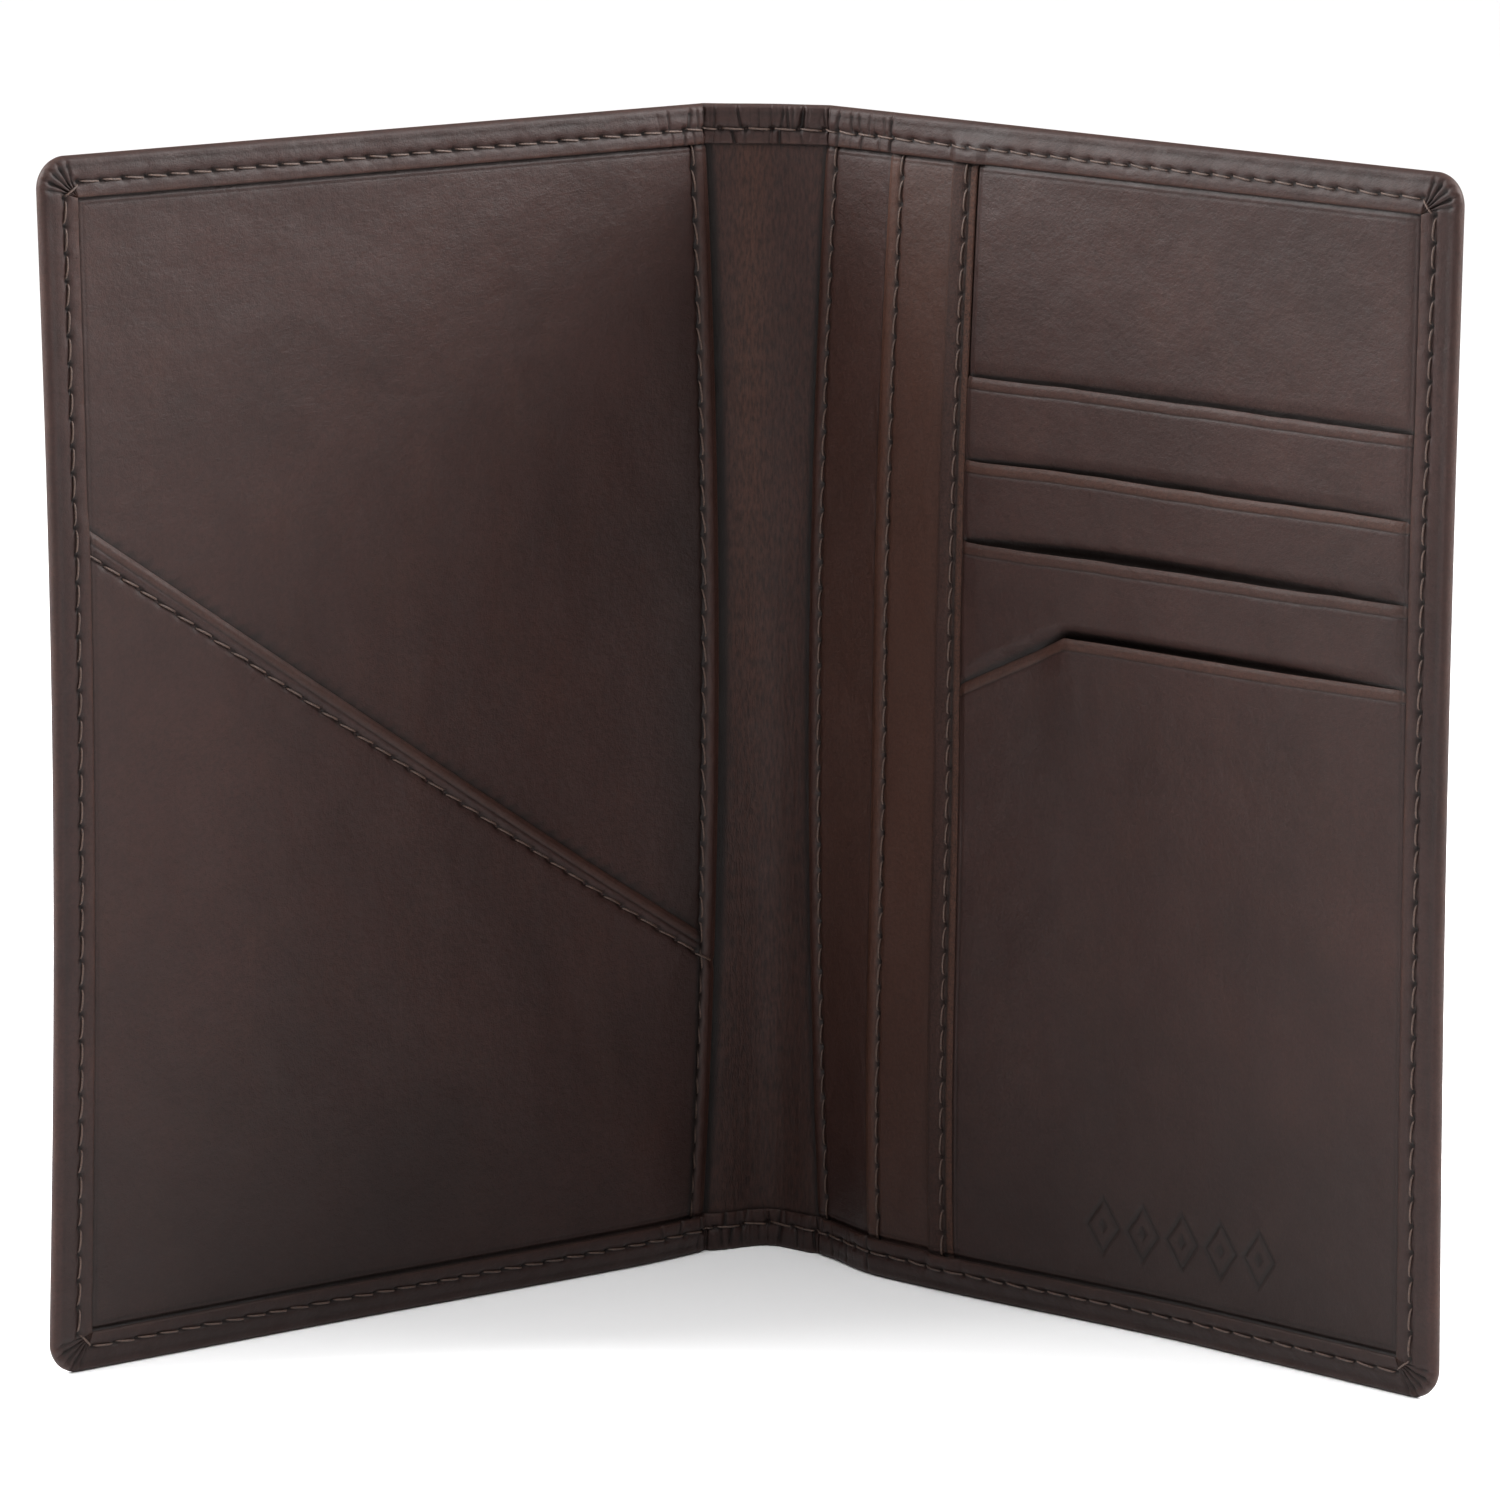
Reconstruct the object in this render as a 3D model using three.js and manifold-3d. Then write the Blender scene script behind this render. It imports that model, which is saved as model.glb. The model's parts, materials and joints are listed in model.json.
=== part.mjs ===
// Passport holder wallet: a leather shell folded at two creases beside a narrow spine, with a
// passport sleeve and a diagonal pocket in the left cover and slip pockets and card slots in the right.
// Units are millimetres, +Z is up, and the wallet stands on its bottom edges, half open.
//
// Each of the three bodies (spine, left cover, right cover) is drawn lying flat in its own frame:
// X runs along the leather, Z is up, the outside face is the plane Y = 0 and the inside is towards -Y.
// "u" is the distance from a cover's crease, and "depth" the distance in from the outside face.

import * as THREE from 'three';
import { mergeVertices } from 'three/addons/utils/BufferGeometryUtils.js';
import Module from 'manifold-3d';

const wasm = await Module();
wasm.setup();

// ---- Driving dimensions ----
const HEIGHT = 142;
const COVER_WIDTH = 98.8;
const SPINE_WIDTH = 14.2;
const CORNER_RADIUS = 4;
const EDGE_WIDTH = 4.8; // leather turned over onto the inside face
const STITCH_INSET = 3; // stitch line, from the outer edge

// Fold of each cover from flat, and the turn of the whole wallet as it stands
const LEFT_FOLD = THREE.MathUtils.degToRad(45.2);
const RIGHT_FOLD = THREE.MathUtils.degToRad(38.3);
const STANDING_TURN = THREE.MathUtils.degToRad(-6);

// Sheet thicknesses
const SHELL = 0.8;
const BOARD = 0.35;
const FABRIC = 0.15;
const INNER = 0.45; // skived pocket leather
const TURNED = 0.6;
const THREAD = 0.35;
const THREAD_WIDTH = 0.5;
const GAP = 0.12; // between neighbouring sheets

// Clearances that let the covers close against the spine
const COVER_START = 0.4; // shell leather, from the crease
const LAYER_START = 3; // every inner layer of a cover, from the crease
const SPINE_SIDE_GAP = 1.1; // spine pieces, from the crease
const MITRE = 0.3; // saw gap between two turned edges

// Inner layers stop this far short of the outer edge, inside the turned wall
const WALL = 0.8;
const LAYER_INSET = WALL + GAP;

// Left cover
const DIAGONAL_LOW = 38; // height of the diagonal edge at the crease
const DIAGONAL_HIGH = 102; // and at the outer edge
const SEAM_INSET = 1.6; // stitch line of a free edge, from that edge

// Right cover, distances from the crease
const OUTER_SLIP_START = 11.3;
const CARD_PANEL_START = 22.2;
const BINDING_WIDTH = 3;
const CARD_SLOT_TOPS = [112, 102, 92.3];
const CARD_SLOT_HEIGHT = 11.6;
const CARD_SLOT_PITCH = 10;
const FRONT_POCKET_TOP = 82.5;
const FRONT_POCKET_DROP = 8; // the front pocket's top corner is cut away by this height
const FRONT_POCKET_CUT = 17; // over this width

const LEATHER = { color: 0x42322e, roughness: 0.45, metalness: 0 };
const LINING = { color: 0x2c2220, roughness: 0.85, metalness: 0 };
const BOARD_FINISH = { color: 0x8a8074, roughness: 0.9, metalness: 0 };
const THREAD_FINISH = { color: 0x5a4030, roughness: 0.7, metalness: 0 };

// ---- Helpers ----

function namedMesh(name, geometry, finish) {
  const mesh = new THREE.Mesh(geometry, new THREE.MeshStandardMaterial(finish));
  mesh.name = name;
  return mesh;
}

// Extrudes a flat outline (x along the leather, y up) into a sheet lying "depth" inside the outer face.
function sheet(points, depth, thickness) {
  const geometry = new THREE.ExtrudeGeometry(new THREE.Shape(points), {
    depth: thickness,
    bevelEnabled: false,
  });
  geometry.rotateX(Math.PI / 2);
  geometry.translate(0, -depth, 0);
  return geometry;
}

function rectangle(x0, x1, z0, z1) {
  return [[x0, z0], [x1, z0], [x1, z1], [x0, z1]].map(([x, z]) => new THREE.Vector2(x, z));
}

// Cover outline: straight at the crease side, round at the two outer corners. side is -1 or +1.
function coverOutline(side, start, inset) {
  const radius = Math.max(CORNER_RADIUS - inset, 0.4);
  const end = COVER_WIDTH - inset;
  const steps = 6;
  const points = [new THREE.Vector2(side * start, inset)];
  for (const [centreZ, firstAngle] of [[inset + radius, -90], [HEIGHT - inset - radius, 0]]) {
    for (let step = 0; step <= steps; step += 1) {
      const angle = THREE.MathUtils.degToRad(firstAngle + (90 * step) / steps);
      const u = end - radius + radius * Math.cos(angle);
      points.push(new THREE.Vector2(side * u, centreZ + radius * Math.sin(angle)));
    }
  }
  points.push(new THREE.Vector2(side * start, HEIGHT - inset));
  return points;
}

function toSolid(geometry) {
  const plain = geometry.clone();
  plain.deleteAttribute('normal');
  plain.deleteAttribute('uv');
  const merged = mergeVertices(plain, 1e-4);
  return new wasm.Manifold(new wasm.Mesh({
    numProp: 3,
    vertProperties: merged.attributes.position.array,
    triVerts: Uint32Array.from(merged.index.array),
  }));
}

function toGeometry(solid) {
  const { vertProperties, triVerts } = solid.getMesh();
  const geometry = new THREE.BufferGeometry();
  geometry.setAttribute('position', new THREE.BufferAttribute(vertProperties, 3));
  geometry.setIndex(new THREE.BufferAttribute(triVerts, 1));
  geometry.computeVertexNormals();
  return geometry;
}

// A border that follows the cover outline on three sides, between two insets from its edge.
function border(side, outerInset, innerInset, depth, thickness) {
  const outside = toSolid(sheet(coverOutline(side, LAYER_START, outerInset), depth, thickness));
  const inside = toSolid(sheet(coverOutline(side, 0, innerInset), depth - 1, thickness + 2));
  return outside.subtract(inside);
}

// Regions above, beyond and below the two mitre cuts at a cover's outer corners.
function mitreRegions(side) {
  const far = 2 * COVER_WIDTH;
  const cut = MITRE / Math.SQRT2;
  const middle = HEIGHT / 2;
  const meeting = COVER_WIDTH - middle; // where the two 45 degree cuts meet
  const flip = (points) => points.map(([u, z]) => new THREE.Vector2(side * u, z));
  const reach = far - meeting;
  return {
    top: flip([[meeting, middle + cut], [far, middle + reach + cut], [-far, middle + reach + cut], [-far, middle + cut]]),
    outer: flip([[meeting + cut, middle], [far, middle + reach - 2 * cut], [far, middle - reach + 2 * cut]]),
    bottom: flip([[meeting, middle - cut], [-far, middle - cut], [-far, middle - reach - cut], [far, middle - reach - cut]]),
  };
}

// ---- Pieces shared by both covers ----

// The shell leather turned over the edge: a wall standing on the shell and a flange over the layers,
// mitred at the corners, with the stitch groove cut in the flange.
function turnedEdges(side, prefix, flangeDepth) {
  const wallDepth = SHELL + GAP;
  const wall = border(side, 0, WALL, wallDepth, flangeDepth + TURNED - wallDepth);
  const flange = border(side, 0, EDGE_WIDTH, flangeDepth, TURNED);
  const grooveHalf = THREAD_WIDTH / 2 + GAP;
  const grooveDepth = flangeDepth + TURNED - THREAD;
  const groove = border(side, STITCH_INSET - grooveHalf, STITCH_INSET + grooveHalf, grooveDepth, 1);
  const whole = wall.add(flange).subtract(groove);
  return Object.entries(mitreRegions(side)).map(([place, outline]) => {
    const region = toSolid(sheet(outline, -1, flangeDepth + TURNED + 2));
    return namedMesh(`${prefix}_turned_edge_${place}`, toGeometry(whole.intersect(region)), LEATHER);
  });
}

function edgeStitching(side, prefix, flangeDepth) {
  const half = THREAD_WIDTH / 2;
  const depth = flangeDepth + TURNED - THREAD + GAP;
  const thread = border(side, STITCH_INSET - half, STITCH_INSET + half, depth, THREAD);
  return namedMesh(`${prefix}_edge_stitching`, toGeometry(thread), THREAD_FINISH);
}

function coverSheet(name, side, start, inset, depth, thickness, finish) {
  return namedMesh(name, sheet(coverOutline(side, start, inset), depth, thickness), finish);
}

// A straight upright thread beside the free edge of a pocket, lying on the pocket's face.
function uprightStitching(name, side, u, depth) {
  const low = EDGE_WIDTH + GAP;
  const outline = rectangle(side * u, side * (u + THREAD_WIDTH), low, HEIGHT - low);
  return namedMesh(name, sheet(outline, depth, THREAD), THREAD_FINISH);
}

// Depths of the sheets that both covers have, from the outside in.
const BOARD_DEPTH = SHELL + GAP;
const LINING_DEPTH = BOARD_DEPTH + BOARD + GAP;
const FIRST_POCKET_DEPTH = LINING_DEPTH + FABRIC + GAP;
const LAYER_STEP = INNER + GAP;

function coverShell(side, prefix, flangeDepth) {
  return [
    coverSheet(`${prefix}_cover_leather`, side, COVER_START, 0, 0, SHELL, LEATHER),
    coverSheet(`${prefix}_stiffener`, side, LAYER_START, LAYER_INSET, BOARD_DEPTH, BOARD, BOARD_FINISH),
    coverSheet(`${prefix}_lining`, side, LAYER_START, LAYER_INSET, LINING_DEPTH, FABRIC, LINING),
    ...turnedEdges(side, prefix, flangeDepth),
    edgeStitching(side, prefix, flangeDepth),
  ];
}

// ---- Spine ----

function spineTurnedEdge(place, depth) {
  const half = SPINE_WIDTH / 2 - SPINE_SIDE_GAP;
  const wallDepth = SHELL + GAP;
  const atTop = place === 'top';
  const band = (near, far) => (atTop ? [HEIGHT - far, HEIGHT - near] : [near, far]);
  const wall = toSolid(sheet(rectangle(-half, half, ...band(0, WALL)), wallDepth, depth + TURNED - wallDepth));
  const flange = toSolid(sheet(rectangle(-half, half, ...band(0, EDGE_WIDTH)), depth, TURNED));
  const grooveHalf = THREAD_WIDTH / 2 + GAP;
  const grooveBand = band(STITCH_INSET - grooveHalf, STITCH_INSET + grooveHalf);
  const groove = toSolid(sheet(rectangle(-2 * half, 2 * half, ...grooveBand), depth + TURNED - THREAD, 1));
  const edge = wall.add(flange).subtract(groove);
  const threadBand = band(STITCH_INSET - THREAD_WIDTH / 2, STITCH_INSET + THREAD_WIDTH / 2);
  const thread = sheet(rectangle(-half, half, ...threadBand), depth + TURNED - THREAD + GAP, THREAD);
  return [
    namedMesh(`spine_turned_edge_${place}`, toGeometry(edge), LEATHER),
    namedMesh(`spine_stitching_${place}`, thread, THREAD_FINISH),
  ];
}

function spineBody() {
  const half = SPINE_WIDTH / 2 - SPINE_SIDE_GAP;
  const liningDepth = SHELL + GAP;
  const turnedDepth = liningDepth + INNER + GAP;
  const lining = rectangle(-half, half, LAYER_INSET, HEIGHT - LAYER_INSET);
  const group = new THREE.Group();
  group.add(
    namedMesh('spine_leather', sheet(rectangle(-half, half, 0, HEIGHT), 0, SHELL), LEATHER),
    namedMesh('spine_lining', sheet(lining, liningDepth, INNER), LEATHER),
    ...spineTurnedEdge('top', turnedDepth),
    ...spineTurnedEdge('bottom', turnedDepth),
  );
  return group;
}

// ---- Left cover ----

function diagonalHeight(u) {
  return DIAGONAL_LOW + ((DIAGONAL_HIGH - DIAGONAL_LOW) * u) / COVER_WIDTH;
}

// The pocket stops beside the sleeve's stitch line, so that the thread stands clear of it.
function diagonalPocket(side, depth) {
  const start = LAYER_START + SEAM_INSET + THREAD_WIDTH + GAP;
  const end = COVER_WIDTH - LAYER_INSET;
  const outline = [
    new THREE.Vector2(side * start, LAYER_INSET),
    new THREE.Vector2(side * (end - CORNER_RADIUS), LAYER_INSET),
    new THREE.Vector2(side * end, LAYER_INSET + CORNER_RADIUS),
    new THREE.Vector2(side * end, diagonalHeight(end)),
    new THREE.Vector2(side * start, diagonalHeight(start)),
  ];
  return namedMesh('diagonal_pocket', sheet(outline, depth, INNER), LEATHER);
}

function diagonalStitching(side, depth) {
  const start = LAYER_START + SEAM_INSET + THREAD_WIDTH + 2 * GAP;
  const end = COVER_WIDTH - EDGE_WIDTH - GAP;
  const drop = 2 * SEAM_INSET;
  const outline = [
    new THREE.Vector2(side * start, diagonalHeight(start) - drop),
    new THREE.Vector2(side * end, diagonalHeight(end) - drop),
    new THREE.Vector2(side * end, diagonalHeight(end) - drop + THREAD_WIDTH),
    new THREE.Vector2(side * start, diagonalHeight(start) - drop + THREAD_WIDTH),
  ];
  return namedMesh('diagonal_pocket_stitching', sheet(outline, depth, THREAD), THREAD_FINISH);
}

function leftCover() {
  const side = -1;
  const sleeveDepth = FIRST_POCKET_DEPTH;
  const diagonalDepth = sleeveDepth + LAYER_STEP;
  const flangeDepth = diagonalDepth + LAYER_STEP;
  const group = new THREE.Group();
  group.add(
    ...coverShell(side, 'left', flangeDepth),
    coverSheet('passport_sleeve', side, LAYER_START, LAYER_INSET, sleeveDepth, INNER, LEATHER),
    uprightStitching('passport_sleeve_stitching', side, LAYER_START + SEAM_INSET, sleeveDepth + LAYER_STEP),
    diagonalPocket(side, diagonalDepth),
    diagonalStitching(side, diagonalDepth + LAYER_STEP),
  );
  group.position.x = -SPINE_WIDTH / 2;
  group.rotation.z = LEFT_FOLD;
  return group;
}

// ---- Right cover ----

// A slot strip leans like a shingle: its top edge stands one layer proud of its tucked-in foot.
function cardSlot(index, side, start, baseDepth) {
  const lean = Math.atan2(LAYER_STEP, CARD_SLOT_PITCH);
  const end = COVER_WIDTH - LAYER_INSET;
  const strip = sheet(rectangle(side * start, side * end, 0, CARD_SLOT_HEIGHT), 0, INNER);
  strip.rotateX(lean);
  strip.translate(0, -baseDepth, CARD_SLOT_TOPS[index] - CARD_SLOT_HEIGHT);
  return namedMesh(`card_slot_${index + 1}`, strip, LEATHER);
}

function frontCardPocket(side, start, depth) {
  const end = COVER_WIDTH - LAYER_INSET;
  const outline = [
    new THREE.Vector2(side * start, LAYER_INSET),
    new THREE.Vector2(side * (end - CORNER_RADIUS), LAYER_INSET),
    new THREE.Vector2(side * end, LAYER_INSET + CORNER_RADIUS),
    new THREE.Vector2(side * end, FRONT_POCKET_TOP),
    new THREE.Vector2(side * (start + FRONT_POCKET_CUT), FRONT_POCKET_TOP),
    new THREE.Vector2(side * start, FRONT_POCKET_TOP - FRONT_POCKET_DROP),
  ];
  return namedMesh('front_card_pocket', sheet(outline, depth, INNER), LEATHER);
}

// Narrow strip bound over the inner edge of the card panel.
function cardPanelBinding(side, depth) {
  const end = CARD_PANEL_START + BINDING_WIDTH;
  const outline = rectangle(side * CARD_PANEL_START, side * end, LAYER_INSET, HEIGHT - LAYER_INSET);
  return namedMesh('card_panel_binding', sheet(outline, depth, INNER), LEATHER);
}

function rightCover() {
  const side = 1;
  const innerSlipDepth = FIRST_POCKET_DEPTH;
  const outerSlipDepth = innerSlipDepth + LAYER_STEP;
  const panelDepth = outerSlipDepth + LAYER_STEP;
  const slotDepth = panelDepth + LAYER_STEP;
  const frontDepth = slotDepth + LAYER_STEP + GAP;
  const flangeDepth = frontDepth + LAYER_STEP;
  const slotStart = CARD_PANEL_START + BINDING_WIDTH + 2 * GAP;
  const group = new THREE.Group();
  group.add(
    ...coverShell(side, 'right', flangeDepth),
    coverSheet('inner_slip_pocket', side, LAYER_START, LAYER_INSET, innerSlipDepth, INNER, LEATHER),
    uprightStitching('inner_slip_pocket_stitching', side, LAYER_START + SEAM_INSET, outerSlipDepth),
    coverSheet('outer_slip_pocket', side, OUTER_SLIP_START, LAYER_INSET, outerSlipDepth, INNER, LEATHER),
    uprightStitching('outer_slip_pocket_stitching', side, OUTER_SLIP_START + SEAM_INSET, panelDepth),
    coverSheet('card_panel', side, CARD_PANEL_START, LAYER_INSET, panelDepth, INNER, LEATHER),
    cardPanelBinding(side, slotDepth),
    uprightStitching('card_panel_stitching', side, CARD_PANEL_START + SEAM_INSET, slotDepth + LAYER_STEP),
    ...CARD_SLOT_TOPS.map((top, index) => cardSlot(index, side, slotStart, slotDepth)),
    frontCardPocket(side, slotStart, frontDepth),
  );
  group.position.x = SPINE_WIDTH / 2;
  group.rotation.z = -RIGHT_FOLD;
  return group;
}

// ---- The wallet, standing with its footprint centred on the origin ----

const wallet = new THREE.Group();
wallet.add(spineBody(), leftCover(), rightCover());
wallet.rotation.z = STANDING_TURN;
wallet.updateMatrixWorld(true);
const footprint = new THREE.Box3().setFromObject(wallet, true).getCenter(new THREE.Vector3());
wallet.position.set(-footprint.x, -footprint.y, 0);

export default wallet;
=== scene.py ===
"""A dark brown leather passport holder wallet, standing half open on a pale floor."""
import json
import math
import random
from collections import namedtuple

import bmesh
import bpy
import numpy as np
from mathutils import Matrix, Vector


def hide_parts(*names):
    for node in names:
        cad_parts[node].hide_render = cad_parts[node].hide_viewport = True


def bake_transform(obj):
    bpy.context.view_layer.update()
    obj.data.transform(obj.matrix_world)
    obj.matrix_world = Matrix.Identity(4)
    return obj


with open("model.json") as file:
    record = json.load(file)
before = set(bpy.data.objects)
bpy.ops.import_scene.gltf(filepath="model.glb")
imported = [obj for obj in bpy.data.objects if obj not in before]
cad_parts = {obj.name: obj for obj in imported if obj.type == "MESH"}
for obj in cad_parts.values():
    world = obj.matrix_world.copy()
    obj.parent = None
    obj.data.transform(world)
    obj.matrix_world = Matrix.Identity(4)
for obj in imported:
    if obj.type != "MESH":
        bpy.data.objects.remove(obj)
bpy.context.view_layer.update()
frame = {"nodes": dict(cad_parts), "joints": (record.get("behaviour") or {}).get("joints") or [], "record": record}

MM = 0.001
LEFT, RIGHT = -1, 1
NAME = {LEFT: "left", RIGHT: "right"}
COVER = {side: name + "_cover" for side, name in NAME.items()}


# ---- Where things are, read from the frame (millimetres) ----

def heading_of(side):
    """Heading of a cover's leather, left to right, from the outward normal of its outside face."""
    normal = MOUNTS[COVER[side] + "_outside"]["axis"]
    return math.atan2(-normal[0], normal[1])


JOINTS = {joint["child"]: joint for joint in frame["joints"]}
MOUNTS = {mount["name"]: mount for mount in frame["record"]["mounts"]}
CREASE = {side: np.array(JOINTS[COVER[side]]["pos_m"][:2]) / MM for side in COVER}
HEADING = {side: heading_of(side) for side in COVER}
SPINE_SPAN = CREASE[RIGHT] - CREASE[LEFT]
SPINE_WIDTH = float(np.hypot(*SPINE_SPAN))
SPINE_HEADING = math.atan2(SPINE_SPAN[1], SPINE_SPAN[0])
HALF_SPINE = SPINE_WIDTH / 2


def outwards(side):
    """Direction along a cover, away from the spine, seen from above."""
    return side * np.array([math.cos(HEADING[side]), math.sin(HEADING[side])])


def cad_span(node, side):
    """Nearest and farthest distance from the crease, and lowest and highest z, of a cover's CAD node."""
    mesh = frame["nodes"][node].data
    points = np.array([vertex.co for vertex in mesh.vertices]) / MM
    away = (points[:, :2] - CREASE[side]) @ outwards(side)
    return away.min(), away.max(), points[:, 2].min(), points[:, 2].max()


COVER_WIDTH = cad_span("left_cover_leather", LEFT)[1]
HEIGHT = cad_span("left_cover_leather", LEFT)[3]
OUTER_SLIP_START = cad_span("outer_slip_pocket", RIGHT)[0]
PANEL_START = cad_span("card_panel_binding", RIGHT)[0]
SLOT_TOPS = [cad_span(f"card_slot_{index}", RIGHT)[3] for index in (1, 2, 3)]
FRONT_POCKET_TOP = cad_span("front_card_pocket", RIGHT)[3]
EDGE_WIDTH = cad_span("left_turned_edge_bottom", LEFT)[3]

# ---- Sizes that only the look needs (millimetres) ----

CORNER_RADIUS = 3.8
CREASE_BEND = 2.6  # length of leather that bends sharply at each crease
PLANE_ANCHOR = 10.0  # distance from the crease where a cover is surely flat
BEND_SHIFT = {LEFT: (0.8, 1.75), RIGHT: (0.0, 0.3)}  # bends beyond the hinge lines, at foot and head
SPINE_BOW = (3.4, 0.5)  # how far the spine's middle stands back, at its foot and its head
FOOT_BULGE = {LEFT: 0.8, RIGHT: 2.7}  # how far the foot of a cover stands forward beside the crease
WAIST = {LEFT: 1.45, RIGHT: 0.7}  # how far the outer edge bows in at mid height
STITCH_INSET = 3.0
STITCH_PITCH = 3.15
THREAD_RADIUS = 0.12
HOLE_WIDTH, HOLE_LENGTH, HOLE_DEPTH = 0.32, 0.38, 0.5  # a needle hole across and along its seam
GROOVE_WIDTH, GROOVE_DEPTH = 0.5, 0.16  # the groove that a seam presses into leather
FINE = 0.16  # spacing of mesh rows across a seam, a groove or a pressed line
LEATHER_EDGE = 0.42  # thickness of a pocket sheet
THIN_LEATHER = 0.32  # thickness of the layered sheets of the right cover
SLOT_LEATHER = 0.26
FLANGE_SHEET = 0.45
SLEEVE_EDGE = 2.2  # free edge of the sleeve, from the crease
INNER_EDGE = 0.3  # free edge of the inner slip pocket, from the crease
SEAM_INSET = 1.9  # stitch line of a free edge, from that edge
DIAGONAL = (38.0, 102.0)  # height of the diagonal edge at the crease and at the outer edge
FOLD_LINE = 1.3  # pressed line below a folded slot edge
FRONT_CUT = (17.0, 8.0)  # width and height of the front pocket's cut corner
MOTIF_CENTRE = (60.5, 12.4)  # debossed row of lozenges on the front pocket


def smooth(value):
    """Smooth step from 0 to 1."""
    t = np.clip(value, 0, 1)
    return t * t * (3 - 2 * t)


def ridge(distance, width):
    """A bell-shaped bump of height 1."""
    return np.exp(-(distance / width) ** 2)


# ---- The wallet's outside face as a curve seen from above ----

def bend_place(side, z):
    """Distance of a crease's bend from the spine's middle: the spine leather narrows to its foot."""
    foot, head = BEND_SHIFT[side]
    return HALF_SPINE + foot + (head - foot) * z / HEIGHT


def heading_at(s, z):
    """Heading of the outside face at distance s along the leather from the spine's middle."""
    turn_left = smooth((s + bend_place(LEFT, z)) / CREASE_BEND + 0.5)
    turn_right = smooth((s - bend_place(RIGHT, z)) / CREASE_BEND + 0.5)
    return (
        HEADING[LEFT]
        + (SPINE_HEADING - HEADING[LEFT]) * turn_left
        + (HEADING[RIGHT] - SPINE_HEADING) * turn_right
    )


def outside_curve(z):
    """Sampled curve of the outside face at height z: distance along it, x and y."""
    step = 0.05
    s = np.arange(-130, 130, step)
    heading = heading_at(s + step / 2, z)
    x = np.concatenate([[0], np.cumsum(np.cos(heading[:-1]) * step)])
    y = np.concatenate([[0], np.cumsum(np.sin(heading[:-1]) * step)])
    middle = (CREASE[LEFT] + CREASE[RIGHT]) / 2
    x += middle[0] - np.interp(0, s, x)
    y += middle[1] - np.interp(0, s, y)
    return s, x, y


CURVE_S, FOOT_X, FOOT_Y = outside_curve(0)
HEAD_X, HEAD_Y = outside_curve(HEIGHT)[1:]


def spine_bow(s, z):
    """How far the spine leather stands back between the creases."""
    foot, head = SPINE_BOW
    reach = foot + (head - foot) * smooth(z / HEIGHT)
    return reach * np.cos(np.clip(s / HALF_SPINE, -1, 1) * math.pi / 2) ** 2


def foot_bulge(s, z):
    """How far the foot of each cover stands forward beside the crease."""
    u = np.abs(s) - HALF_SPINE
    reach = np.where(s < 0, FOOT_BULGE[LEFT], FOOT_BULGE[RIGHT])
    rise = smooth(u / 13) * (1 - smooth((u - 14) / 50))
    return reach * rise * (1 - smooth(z / 70))


def on_curve(s, rise):
    """Point of the outside face's curve, at a share of the way from its foot to its head."""
    x = np.interp(s, CURVE_S, FOOT_X) * (1 - rise) + np.interp(s, CURVE_S, HEAD_X) * rise
    y = np.interp(s, CURVE_S, FOOT_Y) * (1 - rise) + np.interp(s, CURVE_S, HEAD_Y) * rise
    return x, y


def wrap(s, depth, z, cover=None):
    """Points in metres from distance along the leather, depth inside its outside face, and height.

    With a cover given, the leather keeps that cover's flat plane instead of turning at its crease."""
    waist = np.where(s < 0, WAIST[LEFT], WAIST[RIGHT])
    reach = np.abs(s) / (HALF_SPINE + COVER_WIDTH)
    s = s - np.sign(s) * waist * reach ** 3 * np.sin(math.pi * np.clip(z / HEIGHT, 0, 1))
    inward = depth - spine_bow(s, z) + foot_bulge(s, z)
    if cover is None:
        heading = heading_at(s, z)
        x, y = on_curve(s, z / HEIGHT)
    else:
        heading = HEADING[cover]
        anchor = cover * (HALF_SPINE + PLANE_ANCHOR)
        x, y = on_curve(anchor, z / HEIGHT)
        x = x + (s - anchor) * math.cos(heading)
        y = y + (s - anchor) * math.sin(heading)
    x = x + inward * np.sin(heading)
    y = y - inward * np.cos(heading)
    return np.stack([x, y, z], axis=-1) * MM


def along(side, u):
    """Distance along the leather from the spine's middle, for a distance u from a cover's crease."""
    return side * (HALF_SPINE + u)


# ---- Depths of the layers, inwards from the outside face ----

BOARD_FRONT = 0.75
LINING_FRONT = 0.95
SLEEVE_FRONT = 1.55
DIAGONAL_FRONT = 2.0
INNER_SLIP_FRONT = 1.35
OUTER_SLIP_FRONT = 1.7
PANEL_FRONT = 2.05
SLOT_FRONT = 2.32
RIM_ON_SPINE = 1.42


def rim_depth(side, u, z):
    """Depth of the turned edge's face at its inner side: it grows with the layers below it."""
    if side == LEFT:
        pocket = smooth((100 - z) / 6 + 0.5)
        return RIM_ON_SPINE + smooth((u - 1.2) / 1.6) * (0.7 + 0.42 * pocket)
    slots = smooth((108 - z) / 10 + 0.5) * smooth((u - PANEL_START - 3) / 4)
    steps = smooth((u + 0.3) / 1.2) * 0.43
    for start in (OUTER_SLIP_START, PANEL_START):
        steps = steps + smooth((u - start) / 1.2 + 0.3) * 0.35
    steps = steps + 0.5 * smooth((u - PANEL_START + 0.9) / 0.9) * smooth((PANEL_START + 5.2 - u) / 1.4)
    return RIM_ON_SPINE + steps + 0.28 * slots


def between_rims(z):
    """0 under the top and bottom turned edges, rising to 1 at mid height."""
    t = np.clip((z - EDGE_WIDTH) / (HEIGHT - 2 * EDGE_WIDTH), 0, 1)
    return np.sin(math.pi * t) ** 0.85


def left_swell(u, z):
    """The sleeve stands off the cover towards its free edge."""
    return 2.9 * between_rims(z) * np.exp(-((np.maximum(u - SLEEVE_EDGE, 0) / 11.0) ** 1.5))


def right_swell(u, z):
    """The pockets of the right cover bow off it together near the spine."""
    fade = 1 - smooth((u - 20) / 32)
    return 2.45 * between_rims(z) * fade


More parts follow.
